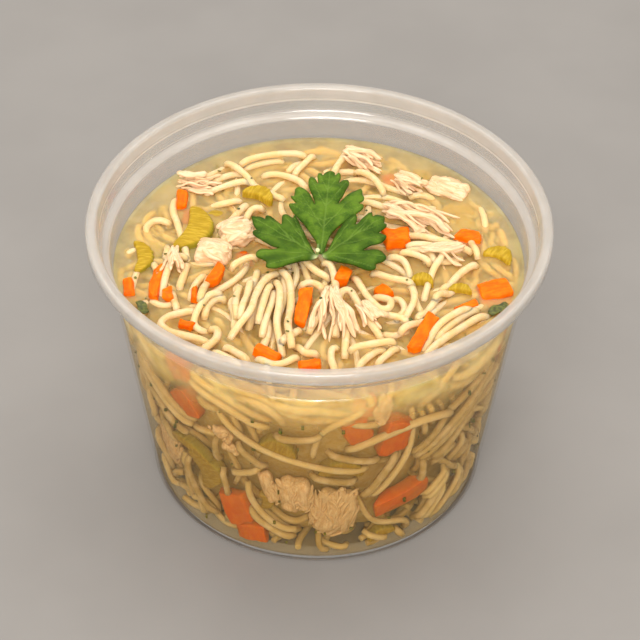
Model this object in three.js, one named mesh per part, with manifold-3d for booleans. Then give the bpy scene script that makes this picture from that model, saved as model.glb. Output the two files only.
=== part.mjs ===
// A round deli tub of chicken noodle soup, in millimetres, +Z up.
// The origin is the middle of the tub's flat underside. -Y is the front.
// The clear tub holds broth up to LEVEL. Noodles fill it and break the surface as a heap,
// with chicken, carrot, celery and a parsley sprig on and around it.

import * as THREE from "three";
import { mergeVertices } from "three/addons/utils/BufferGeometryUtils.js";
import Module from "manifold-3d";

// ---------------------------------------------------------------- driving dimensions

const GAP = 0.3; // clearance between neighbouring pieces
const SIDES = 40; // flat sides round the tub and the broth

const TUB = {
  height: 78.7,
  rimRadius: 58.5, // outside of the rolled rim
  rimWidth: 2.9,
  bead: 0.95, // radius of the rim's rounded top edges
  skirt: 3.5, // how far the rim hangs down outside
  baseRadius: 44,
  shoulderRadius: 53.5, // outside of the wall just under the stacking step
  shoulderHeight: 70.4,
  step: 1.9, // how far the wall steps out above the shoulder
  wall: 0.8,
  floor: 1,
  corner: 2,
};

const LEVEL = 65; // broth surface

const HEAP = {
  reach: 45.5, // mean radius of the bare heap where it breaks the surface
  foot: 6, // height of its underside
  edge: 5, // height of its lower edge's slope
  lip: 0.7, // height of its edge above the broth
  mound: 2.2, // further height of its middle
  spread: 23, // radius over which the mound falls away
  middle: [1, 3],
  sides: 32,
};

const NOODLE = {
  radius: 1.05,
  sides: 5,
  keepIn: 50.2, // radius inside which strands stay
  shortest: 5, // shorter ends of a cut strand are left out
  stagger: 3, // how unevenly the strands of a bundle start
  layer: 1.25, // height that one layer adds
  loose: 0.5, // how unevenly strands of a layer lie
  droop: 1.1, // how far the ends of an upper strand hang
};

const CHICKEN = { thick: 1.9, sides: 5, sway: 0.9, loose: 0.7, step: 6 };

// Strands of noodle, laid in bundles: where the first one starts, its heading and how far
// it turns in degrees, its length, and how many lie side by side, how far apart, how much
// they fan out, and how many layers up they lie.
const BUNDLES = [
  { at: [-12.5, -7], heading: -94, length: 24, turn: 6, count: 8, apart: 1.9, fan: 14, layer: 1 },
  { at: [-27, -13], heading: -118, length: 21, turn: 62, count: 3, apart: 2.5, fan: 8, layer: 1 },
  { at: [-36, -23], heading: 24, length: 15, turn: -30, count: 2, apart: 3.6, fan: -20, layer: 0 },
  { at: [-36, -25], heading: -38, length: 33, turn: 30, count: 1, apart: 0, fan: 0, layer: 0 },
  { at: [-22, -30], heading: 95, length: 8, turn: -40, count: 2, apart: 3.5, fan: 0, layer: 1 },
  { at: [6.4, -14], heading: -88, length: 25, turn: -4, count: 3, apart: 2.2, fan: 12, layer: 1 },
  { at: [9, -9], heading: -52, length: 27, turn: -185, count: 1, apart: 0, fan: 0, layer: 1 },
  { at: [7, -11], heading: -60, length: 20, turn: -30, count: 1, apart: 0, fan: 0, layer: 0 },
  { at: [13, -4], heading: -16, length: 25, turn: -84, count: 2, apart: 3.4, fan: 0, layer: 0 },
  { at: [32, -33], heading: 48, length: 24, turn: -4, count: 5, apart: 2.5, fan: 6, layer: 0 },
  { at: [29, -11], heading: 46, length: 15, turn: 0, count: 2, apart: 3.2, fan: 10, layer: 1 },
  { at: [25, -18], heading: 63, length: 8, turn: 0, count: 2, apart: 3, fan: 0, layer: 0 },
  { at: [39, 28], heading: -70, length: 33, turn: -18, count: 2, apart: 4, fan: -6, layer: 0 },
  { at: [30, 6], heading: -98, length: 15, turn: -10, count: 2, apart: 3.2, fan: 0, layer: 0 },
  { at: [8.5, 49], heading: -114, length: 14, turn: 4, count: 2, apart: 2.2, fan: 0, layer: 1 },
  { at: [-3, 44], heading: -122, length: 17, turn: 0, count: 2, apart: 3, fan: 6, layer: 0 },
  { at: [-25, 41], heading: -44, length: 23, turn: 10, count: 1, apart: 0, fan: 0, layer: 1 },
  { at: [-31, 34], heading: 32, length: 33, turn: -34, count: 2, apart: 3, fan: 0, layer: 0 },
  { at: [-17, 35], heading: 0, length: 15, turn: -38, count: 1, apart: 0, fan: 0, layer: 0 },
  { at: [-37, 27], heading: -96, length: 17, turn: 16, count: 1, apart: 0, fan: 0, layer: 0 },
  { at: [-24, 24], heading: 176, length: 15, turn: 62, count: 2, apart: 2.6, fan: 0, layer: 0 },
  { at: [-49, 4], heading: 62, length: 19, turn: -120, count: 1, apart: 0, fan: 0, layer: 0 },
  { at: [-45, 15], heading: -104, length: 19, turn: 62, count: 1, apart: 0, fan: 0, layer: 0 },
  { at: [-35, -9], heading: -70, length: 12, turn: 6, count: 2, apart: 3, fan: 0, layer: 0 },
  { at: [-17, 23], heading: -118, length: 14, turn: 0, count: 1, apart: 0, fan: 0, layer: 0 },
  { at: [-18, 22], heading: -34, length: 10, turn: -30, count: 2, apart: 3, fan: 0, layer: 0 },
  { at: [8, -37], heading: 14, length: 15, turn: 16, count: 2, apart: 2.8, fan: 0, layer: 0 },
  { at: [17, 30], heading: -96, length: 9, turn: 20, count: 1, apart: 0, fan: 0, layer: 0 },
  { at: [-9, -28], heading: -72, length: 10, turn: -14, count: 1, apart: 0, fan: 0, layer: 0 },
  { at: [14, -1], heading: -4, length: 21, turn: -24, count: 3, apart: 2.8, fan: 8, layer: 0 },
  { at: [41.5, 24], heading: -80, length: 16, turn: -4, count: 2, apart: 2.8, fan: 0, layer: 0 },
  { at: [3, 38.5], heading: 176, length: 15, turn: 20, count: 2, apart: 2.6, fan: 0, layer: 0 },
  { at: [14, 41], heading: -98, length: 11, turn: -8, count: 2, apart: 3, fan: 8, layer: 0 },
  { at: [-17, -2], heading: -66, length: 9, turn: -30, count: 2, apart: 2.6, fan: 0, layer: 0 },
  { at: [-19, -33.5], heading: 152, length: 13, turn: -34, count: 2, apart: 2.5, fan: 0, layer: 0 },
  { at: [-7, -33], heading: -34, length: 11, turn: 20, count: 2, apart: 2.6, fan: 0, layer: 0 },
  { at: [18, -17], heading: -66, length: 17, turn: -16, count: 2, apart: 2.6, fan: 6, layer: 0 },
  { at: [33, -3], heading: -124, length: 13, turn: 8, count: 2, apart: 3, fan: 6, layer: 0 },
  { at: [-39.6, 10], heading: -96, length: 9, turn: 10, count: 1, apart: 0, fan: 0, layer: 0 },
  { at: [-23, 19], heading: 214, length: 9, turn: 10, count: 2, apart: 2.6, fan: 0, layer: 0 },
  { at: [-31, -6], heading: -96, length: 10, turn: 12, count: 1, apart: 0, fan: 0, layer: 0 },
  { at: [6, -36], heading: -30, length: 9, turn: 30, count: 2, apart: 2.6, fan: 0, layer: 0 },
  { at: [14, -29], heading: -58, length: 9, turn: 20, count: 2, apart: 2.8, fan: 0, layer: 0 },
  { at: [-16, -33], heading: 8, length: 11, turn: -20, count: 1, apart: 0, fan: 0, layer: 0 },
];

// Carrot pieces: middle, [width, length, thickness], heading of the length, and how high
// the top face stands above the broth.
const CARROTS = [
  { at: [-47.4, -11.2], size: [3.2, 7.6, 3.6], heading: 8, rise: 0.8 },
  { at: [-40.8, -10], size: [3.2, 16.4, 3.2], heading: -6, rise: 1.4 },
  { at: [-37.6, -15], size: [2.6, 6, 2.4], heading: 6, rise: 1.8 },
  { at: [-25.6, -8.4], size: [3.4, 9.5, 3], heading: -20, rise: 3.2 },
  { at: [-30.8, -15], size: [2.2, 6.5, 2.6], heading: 4, rise: 2.2 },
  { at: [-35.8, 23.8], size: [3, 7.4, 3], heading: 4, rise: 1.6 },
  { at: [20, 8.4], size: [7.6, 7.4, 4], heading: 10, rise: 2.4 },
  { at: [38.4, 10.4], size: [8, 6, 4.2], heading: -14, rise: 1.2 },
  { at: [44, -10.4], size: [8.6, 8, 4.4], heading: 16, rise: 0.9 },
  { at: [26, -27.5], size: [3.6, 18, 3.4], heading: -24, rise: 1.4 },
  { at: [6.3, -8.6], size: [3.6, 7, 3], heading: -14, rise: 3.4 },
  { at: [16, -13], size: [5, 4.4, 3], heading: -50, rise: 1.8 },
  { at: [-3.8, -20], size: [3.6, 15.5, 3.4], heading: -8, rise: 2.8 },
  { at: [-12.4, -36.2], size: [4, 8.4, 3.2], heading: 58, rise: 1.6 },
  { at: [-2, -40], size: [6.2, 3.2, 3], heading: 4, rise: 1.4 },
  { at: [-32.4, -26.6], size: [2.4, 5, 2.4], heading: 66, rise: 2 },
  { at: [37, -17.5], size: [2.6, 8.5, 3], heading: -52, rise: 0.9 },
];

// Celery slices, crescents cut across the stalk: as the carrots, the width being the
// crescent's depth and the length its span.
const CELERY = [
  { at: [-32, 11.5], size: [7.4, 17, 4], heading: -14, rise: 1.4 },
  { at: [-15.6, 26], size: [4.4, 8.4, 3.4], heading: 62, rise: 1.8 },
  { at: [-44.8, 0.6], size: [4.4, 12, 3.6], heading: 4, rise: 0.8 },
  { at: [46, 3.2], size: [4.8, 7.6, 3.8], heading: 60, rise: 0.9 },
  { at: [26, -8], size: [3.6, 5.6, 3], heading: 84, rise: 1.8 },
  { at: [35.4, -11], size: [2.8, 5.6, 2.8], heading: 84, rise: 1.2 },
];

// Solid lumps of chicken, and heaps of shredded strips: where the strips start, their
// heading, length, how many lie side by side over what width, and how far they turn.
const CHUNKS = [
  { at: [-21, 8.4], size: [9, 7.6, 6], heading: 24, rise: 4.6 },
  { at: [-26.8, 1], size: [9, 6.6, 5.4], heading: -16, rise: 3.8 },
  { at: [33.6, 31], size: [11, 6.5, 4], heading: -22, rise: 1.2 },
];
const SHREDS = [
  { at: [-37.5, 31.6], heading: -22, length: 12, turn: 18, count: 3, width: 4.6, fan: 8 },
  { at: [7, 43], heading: -18, length: 12, turn: -30, count: 3, width: 6, fan: 12 },
  { at: [19.4, 33], heading: -38, length: 10.5, turn: -8, count: 3, width: 5.4, fan: 10 },
  { at: [17, 19.4], heading: -18, length: 21, turn: -16, count: 4, width: 7.6, fan: 6 },
  { at: [26, 1], heading: 4, length: 13, turn: 6, count: 2, width: 3.6, fan: 0 },
  { at: [2.8, -15], heading: -91, length: 19, turn: 2, count: 3, width: 4, fan: 11 },
  { at: [10.6, -20], heading: -62, length: 10, turn: 0, count: 3, width: 4, fan: 20 },
  { at: [-36.4, 1], heading: -98, length: 9, turn: 26, count: 2, width: 3.4, fan: 14 },
];

// Two dark leaf scraps at the wall.
const SCRAPS = [
  { at: [44.6, -18.6], size: [3.2, 7, 0.9], heading: -56, rise: 0.9 },
  { at: [-43.6, -19.6], size: [2.8, 5.4, 0.9], heading: 24, rise: 0.9 },
];

// The parsley sprig: a flat leaf of three lobed leaflets that meet at its stem. A blade
// spans from one angle to another out to its clefts; a lobe has an angle, a length and
// half its width in degrees.
const PARSLEY = {
  stem: [-0.4, -2.4],
  lift: 3.9, // height of the stem above the broth
  arch: 2, // further height half way along a leaflet
  thick: 0.5,
  petiole: 1.5,
  ripple: 0.3,
  blades: [
    { from: 67, to: 107, cleft: 21 },
    { from: 113, to: 199, cleft: 12 },
    { from: -18, to: 60, cleft: 12.5 },
  ],
  lobes: [
    [85, 33.8, 5.4], [93.6, 30.5, 3.4], [76, 30.4, 3.4],
    [101, 27.2, 4.6], [106, 21.6, 2.4], [70.5, 28.3, 3.8], [67.5, 23.5, 2.6],
    [117.5, 18, 5], [130, 20, 4], [138, 22.9, 4.6], [149, 19.6, 4.4],
    [169, 15.9, 5.4], [176, 16, 5], [185, 14.6, 6], [194, 13.4, 5],
    [56.5, 18.8, 4.2], [50, 22, 4], [44, 23.8, 4.4], [34.5, 20.6, 5], [26, 19.2, 4],
    [8, 16.6, 5], [1, 17.3, 5.4], [-9, 16, 5], [-15.5, 14.4, 4],
  ],
  rings: [0.55, 1], // share of the way from the stem to the outline
};

// ---------------------------------------------------------------- tools

const wasm = await Module();
wasm.setup();

const radians = THREE.MathUtils.degToRad;

// A repeatable stream of numbers from 0 to 1.
function seeded(seed) {
  let state = seed * 2654435761 + 12345;
  return () => {
    state = (Math.imul(state, 1664525) + 1013904223) >>> 0;
    return state / 4294967296;
  };
}

// Joins vertices that coincide and drops triangles that have no area left.
function welded(source) {
  const bare = source.clone();
  bare.deleteAttribute("normal");
  bare.deleteAttribute("uv");
  const geometry = mergeVertices(bare, 1e-4);
  const index = geometry.index.array;
  const kept = [];
  for (let i = 0; i < index.length; i += 3) {
    const [a, b, c] = [index[i], index[i + 1], index[i + 2]];
    if (a !== b && b !== c && c !== a) kept.push(a, b, c);
  }
  geometry.setIndex(kept);
  return geometry;
}

// Six times the enclosed volume, negative where the faces point in.
function signedVolume(geometry) {
  const place = geometry.attributes.position;
  const index = geometry.index.array;
  const [a, b, c] = [0, 1, 2].map(() => new THREE.Vector3());
  let sum = 0;
  for (let i = 0; i < index.length; i += 3) {
    a.fromBufferAttribute(place, index[i]);
    b.fromBufferAttribute(place, index[i + 1]);
    c.fromBufferAttribute(place, index[i + 2]);
    sum += a.dot(b.cross(c));
  }
  return sum;
}

function facingOut(geometry) {
  if (signedVolume(geometry) < 0) {
    const index = geometry.index.array;
    for (let i = 0; i < index.length; i += 3) {
      [index[i], index[i + 1]] = [index[i + 1], index[i]];
    }
  }
  return geometry;
}

function toSolid(source) {
  const geometry = facingOut(welded(source));
  const vertProperties = new Float32Array(geometry.attributes.position.array);
  const triVerts = new Uint32Array(geometry.index.array);
  return new wasm.Manifold(new wasm.Mesh({ numProp: 3, vertProperties, triVerts }));
}

function toGeometry(solid) {
  const { vertProperties, triVerts } = solid.getMesh();
  const geometry = new THREE.BufferGeometry();
  geometry.setAttribute("position", new THREE.BufferAttribute(vertProperties, 3));
  geometry.setIndex(new THREE.BufferAttribute(triVerts, 1));
  return geometry;
}

// The largest body of a solid, without loose scraps and sealed hollows.
function mainBody(solid) {
  const bodies = solid.decompose();
  return bodies.reduce((best, body) => (body.volume() > best.volume() ? body : best));
}

function sum(solids) {
  return solids.reduce((whole, solid) => whole.add(solid));
}

// Turns a profile of [radius, height] points about Z.
function turned(points, sides = SIDES) {
  const profile = points.map(([r, z]) => new THREE.Vector2(r, z));
  return new THREE.LatheGeometry(profile, sides).rotateX(Math.PI / 2);
}

// Points on an arc about [r, z], from one angle to another in degrees.
function arc([r, z], radius, from, to, steps = 2) {
  return Array.from({ length: steps + 1 }, (_, i) => {
    const angle = radians(from + ((to - from) * i) / steps);
    return [r + radius * Math.cos(angle), z + radius * Math.sin(angle)];
  });
}

function material(colour, roughness, opacity = 1) {
  return new THREE.MeshStandardMaterial({
    color: colour,
    roughness,
    metalness: 0,
    opacity,
    transparent: opacity < 1,
  });
}

const object = new THREE.Group();

function add(name, geometry, finish) {
  const mesh = new THREE.Mesh(geometry, finish);
  mesh.name = name;
  object.add(mesh);
}

// ---------------------------------------------------------------- tub

// Outside radius of the tapered wall at a height.
function wallRadius(z) {
  return THREE.MathUtils.mapLinear(
    z, TUB.corner, TUB.shoulderHeight, TUB.baseRadius, TUB.shoulderRadius);
}

function tubProfile() {
  const { height, rimRadius, rimWidth, skirt, baseRadius, shoulderRadius } = TUB;
  const { shoulderHeight, step, bead, wall, floor, corner } = TUB;
  const mouth = rimRadius - rimWidth;
  const neck = shoulderRadius + step; // outside of the upright part above the shoulder
  const outside = [
    [0, 0],
    ...arc([baseRadius - corner, corner], corner, -90, 0),
    [shoulderRadius, shoulderHeight],
    [neck, shoulderHeight + 0.9],
    [mouth + wall - 0.2, height - 1.9],
    [rimRadius - wall, height - 1.6],
    [rimRadius - wall, height - skirt],
    [rimRadius, height - skirt],
  ];
  const rim = [
    ...arc([rimRadius - bead, height - bead], bead, 0, 90),
    ...arc([mouth + bead, height - bead], bead, 90, 180),
  ];
  const inside = [
    [neck - wall, shoulderHeight + 1.5],
    [wallRadius(shoulderHeight) - wall + 0.2, shoulderHeight + 0.9],
    [wallRadius(shoulderHeight - 1) - wall, shoulderHeight - 0.2],
    ...arc([baseRadius - wall - corner, floor + corner], corner, 0, -90),
    [0, floor],
  ];
  return [...outside, ...rim, ...inside];
}

// ---------------------------------------------------------------- broth

// The inside of the tub up to the level, less the gap.
function brothProfile() {
  const { wall, floor, corner, baseRadius } = TUB;
  const inner = (z) => wallRadius(z) - wall - GAP;
  return [
    [0, floor + GAP],
    ...arc([baseRadius - wall - corner, floor + corner], corner - GAP, -90, 0),
    [inner(LEVEL), LEVEL],
    [0, LEVEL],
  ];
}

// ---------------------------------------------------------------- heap of noodles

// Radius of the bare heap's outline at the surface, uneven as noodles leave it.
function heapReach(angle) {
  const lobes = 1.3 * Math.sin(2 * angle + 2.4) + 0.9 * Math.sin(5 * angle + 0.6);
  return HEAP.reach + lobes + 0.5 * Math.sin(9 * angle);
}

// Height of the bare heap's top.
function heapTop(x, y) {
  const [mx, my] = HEAP.middle;
  const away = Math.hypot(x - mx, y - my) / HEAP.spread;
  const bumps = 0.16 * Math.sin(0.41 * x + 1) * Math.cos(0.37 * y);
  return LEVEL + HEAP.lip + HEAP.mound * Math.exp(-away * away) + bumps;
}

// The bare heap: a shallow mound above the broth, and below it as much as the tapered
// tub holds, with broth left all round.
function heapCore() {
  const { foot, edge } = HEAP;
  const taper = (z) => wallRadius(z) / wallRadius(LEVEL);
  const above = [0.3, 0.6, 0.85, 1];
  const below = [[1, LEVEL - 1.2], [taper(foot + edge), foot + edge], [0.9 * taper(foot), foot]];
  const places = [];
  const ring = (share, height) => {
    for (let i = 0; i < HEAP.sides; i += 1) {
      const angle = (2 * Math.PI * i) / HEAP.sides;
      const r = share * heapReach(angle);
      const [x, y] = [r * Math.cos(angle), r * Math.sin(angle)];
      places.push(x, y, height ?? heapTop(x, y));
    }
  };
  places.push(0, 0, heapTop(0, 0));
  above.forEach((share) => ring(share));
  below.forEach(([share, height]) => ring(share, height));
  places.push(0, 0, foot);
  return ringSolid(places, HEAP.sides, above.length + below.length);
}

// A closed geometry over rings of points between a first and a last single point.
function ringSolid(places, sides, rings) {
  const at = (ring, i) => 1 + ring * sides + (i % sides);
  const last = 1 + rings * sides;
  const faces = [];
  for (let i = 0; i < sides; i += 1) {
    faces.push(0, at(0, i), at(0, i + 1));
    faces.push(last, at(rings - 1, i + 1), at(rings - 1, i));
    for (let ring = 0; ring + 1 < rings; ring += 1) {
      faces.push(at(ring, i), at(ring + 1, i), at(ring + 1, i + 1));
      faces.push(at(ring, i), at(ring + 1, i + 1), at(ring, i + 1));
    }
  }
  const geometry = new THREE.BufferGeometry();
  geometry.setAttribute("position", new THREE.Float32BufferAttribute(places, 3));
  geometry.setIndex(faces);
  return geometry;
}

// Points of a strand that starts at a place and turns evenly along its length.
function strand([x, y], heading, length, turn, steps) {
  const step = length / steps;
  const points = [new THREE.Vector2(x, y)];
  for (let i = 0; i < steps; i += 1) {
    const angle = radians(heading + (turn * (i + 0.5)) / steps);
    const last = points[i];
    points.push(new THREE.Vector2(
      last.x + step * Math.cos(angle), last.y + step * Math.sin(angle)));
  }
  return points;
}

// Whether a point lies on a topping's footprint, widened by a margin.
function onFootprint({ at, size, heading }, point, margin) {
  const turn = radians(heading);
  const [dx, dy] = [point.x - at[0], point.y - at[1]];
  const across = dx * Math.cos(turn) + dy * Math.sin(turn);
  const along = -dx * Math.sin(turn) + dy * Math.cos(turn);
  return Math.abs(across) < size[0] / 2 + margin && Math.abs(along) < size[1] / 2 + margin;
}

// The longest unbroken run of points for which a test holds.
function longestRun(points, test) {
  let best = [];
  let run = [];
  for (const point of points) {
    run = test(point) ? [...run, point] : [];
    if (run.length > best.length) best = run;
  }
  return best;
}

// A solid tube of any outline along a run of points.
function swept(points, outline, steps) {
  const path = new THREE.CatmullRomCurve3(points, false, "centripetal");
  return new THREE.ExtrudeGeometry(outline, { steps, extrudePath: path, bevelEnabled: false });
}

function ovalOutline(radiusX, radiusY, sides) {
  return new THREE.Shape(Array.from({ length: sides }, (_, i) => {
    const angle = (2 * Math.PI * i) / sides;
    return new THREE.Vector2(radiusX * Math.cos(angle), radiusY * Math.sin(angle));
  }));
}

// Every strand of every bundle, each ended where it would meet a topping or the wall.
function noodleSolids(toppings) {
  const random = seeded(7);
  const { radius, sides, keepIn, shortest, stagger, loose } = NOODLE;
  const fineSteps = 40;
  const outline = ovalOutline(radius, radius, sides);
  const solids = [];
  for (const { at, heading, length, turn, count, apart, fan, layer } of BUNDLES) {
    for (let i = 0; i < count; i += 1) {
      const place = i - (count - 1) / 2;
      const side = radians(heading + 90);
      const shift = place * apart;
      const back = (random() - 0.5) * stagger;
      const start = [
        at[0] + shift * Math.cos(side) + back * Math.cos(radians(heading)),
        at[1] + shift * Math.sin(side) + back * Math.sin(radians(heading)),
      ];
      const way = heading + (count > 1 ? (fan * place) / (count - 1) : 0);
      const own = length * (0.88 + 0.2 * random());
      const lift = NOODLE.layer * layer + loose * random();
      const fine = strand(start, way, own, turn + 8 * (random() - 0.5), fineSteps);
      const clear = longestRun(fine, (point) => point.length() < keepIn - radius
        && !toppings.some((topping) => onFootprint(topping, point, radius + GAP)));
      const run = (own * (clear.length - 1)) / fineSteps;
      if (run < shortest) continue;
      const bend = (Math.abs(turn) * clear.length) / fineSteps;
      const steps = Math.ceil(run / 9 + bend / 26) + 1;
      const points = Array.from({ length: steps + 1 }, (_, k) => {
        const t = k / steps;
        const point = clear[Math.round(t * (clear.length - 1))];
        const droop = layer * NOODLE.droop * (2 * t - 1) ** 4;
        const bed = Math.max(heapTop(point.x, point.y) + 0.3, LEVEL + GAP + radius + 0.1);
        return new THREE.Vector3(point.x, point.y, bed + lift - droop);
      });
      solids.push(toSolid(swept(points, outline, steps)));
    }
  }
  return solids;
}

// ---------------------------------------------------------------- toppings

// Puts a piece made about its own middle, with its length along Y, where it floats.
function placed(geometry, { at, size, heading, rise }) {
  geometry.rotateZ(radians(heading));
  return geometry.translate(at[0], at[1], LEVEL + rise - size[2] / 2);
}

// A block with its corners and faces uneven, all within its size.
function unevenBlock([width, length, height], cuts, depth, seed) {
  const geometry = welded(new THREE.BoxGeometry(width, length, height, ...cuts));
  const place = geometry.attributes.position;
  const random = seeded(seed);
  for (let i = 0; i < place.count; i += 1) {
    const pull = () => 1 - depth * random();
    const corner = Math.abs(place.getX(i)) > 0.49 * width
      && Math.abs(place.getY(i)) > 0.49 * length ? 1 - depth * 0.6 : 1;
    place.setXYZ(i, place.getX(i) * pull() * corner, place.getY(i) * pull() * corner,
      place.getZ(i) * pull());
  }
  return geometry;
}

// A crescent slice: the outer curve bulges to +X, and its ends are narrower. Its room is
// the same outline with the hollow side filled up.
function crescent([width, length, height], margin = 0) {
  const steps = 6;
  const hollow = width * (margin ? 0.04 : 0.26);
  const rim = (base, bulge, half) => Array.from({ length: steps + 1 }, (_, i) => {
    const t = (2 * i) / steps - 1;
    return new THREE.Vector2(base + bulge * (1 - t * t), t * half);
  });
  const outer = rim(-0.1 * width + margin, 0.6 * width, length / 2 + margin);
  const inner = rim(-width / 2 - margin, hollow, 0.9 * (length / 2) + margin);
  const shape = new THREE.Shape([...outer, ...inner.reverse()]);
  const depth = height + 2 * margin;
  const geometry = new THREE.ExtrudeGeometry(shape, { depth, bevelEnabled: false });
  return geometry.translate(0, 0, -depth / 2);
}

// The room that a piece needs in the broth and in the heap.
function pocket(topping) {
  const [width, length, height] = topping.size.map((side) => side + 2 * GAP);
  const room = CELERY.includes(topping)
    ? crescent(topping.size, GAP)
    : new THREE.BoxGeometry(width, length, height);
  return toSolid(placed(room, topping));
}

// Strips of chicken side by side on the heap, joined where they overlap.
function shredded({ at, heading, length, turn, count, width, fan }, seed) {
  const random = seeded(seed);
  const { thick, sides, loose, step } = CHICKEN;
  const strips = Array.from({ length: count }, (_, i) => {
    const place = count > 1 ? i / (count - 1) - 0.5 : 0;
    const side = radians(heading + 90);
    const shift = place * (width - thick);
    const start = [at[0] + shift * Math.cos(side), at[1] + shift * Math.sin(side)];
    const own = length * (0.72 + 0.28 * random());
    const way = heading + fan * place + 14 * (random() - 0.5);
    const steps = Math.ceil(length / step);
    const points = strand(start, way, own, turn, steps).map(({ x, y }, k) => {
      const bed = Math.max(heapTop(x, y), LEVEL + 0.4) + GAP + 0.1;
      const sway = k > 0 ? CHICKEN.sway * (random() - 0.5) : 0;
      return new THREE.Vector3(x + sway, y + sway, bed + thick / 2 + loose * random());
    });
    const across = (width / count) * (0.5 + 0.25 * random()) + 0.3;
    return toSolid(swept(points, ovalOutline(thick / 2, across, sides), steps));
  });
  return mainBody(sum(strips));
}

// The rectangle that a heap of strips covers, as a footprint for the noodles.
function shredFootprint({ at, heading, length, turn, width, fan }) {
  const middle = radians(heading + turn / 2);
  const bow = length * Math.sin(radians(Math.abs(turn) / 4)) * 0.5;
  const spread = length * Math.sin(radians(Math.abs(fan) / 2));
  return {
    at: [
      at[0] + (length / 2) * Math.cos(middle),
      at[1] + (length / 2) * Math.sin(middle),
    ],
    size: [width + bow + spread + 1.6, length + 1.6],
    heading: heading + turn / 2 - 90,
  };
}

// ---------------------------------------------------------------- parsley

// Distance from the stem to the outline at an angle in degrees.
function leafReach(angle) {
  const { petiole, blades, lobes } = PARSLEY;
  const reaches = [petiole];
  for (const { from, to, cleft } of blades) {
    const edge = Math.min(angle - from, to - angle);
    if (edge > -2) reaches.push(cleft * Math.min(1, Math.max(0.1, (edge + 2) / 5)));
  }
  for (const [middle, length, half] of lobes) {
    const u = Math.abs(angle - middle) / half;
    if (u < 1) reaches.push(length * (1 - 0.06 * u * u - 0.2 * u ** 6));
  }
  return Math.max(...reaches);
}

// The angles at which the outline needs a point, in order.
function leafAngles() {
  const { blades, lobes } = PARSLEY;
  const angles = [204, 238, 272, 306, 338];
  for (const { from, to } of blades) angles.push(from - 1.9, to + 1.9);
  for (const [middle, , half] of lobes) {
    angles.push(middle - 0.97 * half, middle - 0.5 * half, middle, middle + 0.5 * half);
  }
  const turnedOnce = angles.map((angle) => (angle + 360) % 360).sort((a, b) => a - b);
  return turnedOnce.filter((angle, i) => i === 0 || angle - turnedOnce[i - 1] > 0.9);
}

// Height of the leaf's underside: it rises from the stem, arches and ripples.
function leafHeight(reach, angle) {
  const { lift, arch, ripple } = PARSLEY;
  const t = reach / 30;
  const wave = ripple * Math.sin(radians(angle * 9)) * Math.min(1, reach / 8);
  return LEVEL + lift + arch * Math.sin(Math.PI * Math.min(1, t) * 0.62) + wave;
}

function parsleyGeometry() {
  const { stem, thick, rings } = PARSLEY;
  const angles = leafAngles();
  const face = (rise, shares) => shares.flatMap((share) => angles.flatMap((angle) => {
    const outline = leafReach(angle > 270 ? angle - 360 : angle);
    const reach = share * outline;
    const turn = radians(angle);
    return [stem[0] + reach * Math.cos(turn), stem[1] + reach * Math.sin(turn),
      leafHeight(reach, angle) + rise];
  }));
  const middle = (rise) => [...stem, leafHeight(0, 0) + rise];
  const places = [
    ...middle(thick), ...face(thick, rings), ...face(0, [...rings].reverse()), ...middle(0),
  ];
  return ringSolid(places, angles.length, 2 * rings.length);
}

// ---------------------------------------------------------------- assembly

const FINISH = {
  tub: () => material("#e6e1da", 0.3, 0.35),
  broth: () => material("#dcb765", 0.15, 0.8),
  noodle: () => material("#f2dfa8", 0.5),
  chicken: () => material("#ecd3b8", 0.6),
  carrot: () => material("#f07d1c", 0.4),
  celery: () => material("#bdb548", 0.4),
  parsley: () => material("#417a38", 0.5),
};

const name = (kind, i) => `${kind}_${String(i + 1).padStart(2, "0")}`;
const cutPieces = [...CARROTS, ...CELERY, ...CHUNKS, ...SCRAPS];
const pockets = sum(cutPieces.map(pocket));

add("tub", facingOut(welded(turned(tubProfile()))), FINISH.tub());

const broth = toSolid(turned(brothProfile()));
const bare = toSolid(heapCore());
const room = new THREE.Matrix4().makeScale(
  1 + GAP / HEAP.reach, 1 + GAP / HEAP.reach, 1);
const socket = toSolid(heapCore().applyMatrix4(room).translate(0, 0, -GAP));
add("broth", toGeometry(mainBody(broth.subtract(socket.add(pockets)))), FINISH.broth());

const footprints = [...cutPieces, ...SHREDS.map(shredFootprint)];
const heap = [bare.subtract(pockets), ...noodleSolids(footprints)];
add("noodles", toGeometry(mainBody(sum(heap))), FINISH.noodle());

CARROTS.forEach((piece, i) => {
  const cuts = piece.size[1] > 2 * piece.size[0] ? [1, 3, 1] : [2, 2, 1];
  const block = unevenBlock(piece.size, cuts, 0.2, 20 + i);
  add(name("carrot", i), facingOut(placed(block, piece)), FINISH.carrot());
});
CELERY.forEach((piece, i) => {
  const slice = welded(placed(crescent(piece.size), piece));
  add(name("celery", i), facingOut(slice), FINISH.celery());
});
CHUNKS.forEach((piece, i) => {
  const block = unevenBlock(piece.size, [3, 3, 2], 0.22, 60 + i);
  add(name("chicken_chunk", i), facingOut(placed(block, piece)), FINISH.chicken());
});
SHREDS.forEach((piece, i) => {
  add(name("chicken_shreds", i), toGeometry(shredded(piece, 80 + i)), FINISH.chicken());
});
SCRAPS.forEach((piece, i) => {
  const scrap = unevenBlock(piece.size, [1, 3, 1], 0.14, 40 + i);
  add(name("herb_leaf", i), facingOut(placed(scrap, piece)), FINISH.parsley());
});
add("parsley", facingOut(welded(parsleyGeometry())), FINISH.parsley());

export default object;
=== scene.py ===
"""The looks of a deli tub of chicken noodle soup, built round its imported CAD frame.

Sizes in the tables are millimetres, and angles are degrees. -Y is the front of the tub.
"""

import math

import bpy
import numpy as np
from mathutils import Matrix, Vector
from mathutils.geometry import delaunay_2d_cdt


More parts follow.
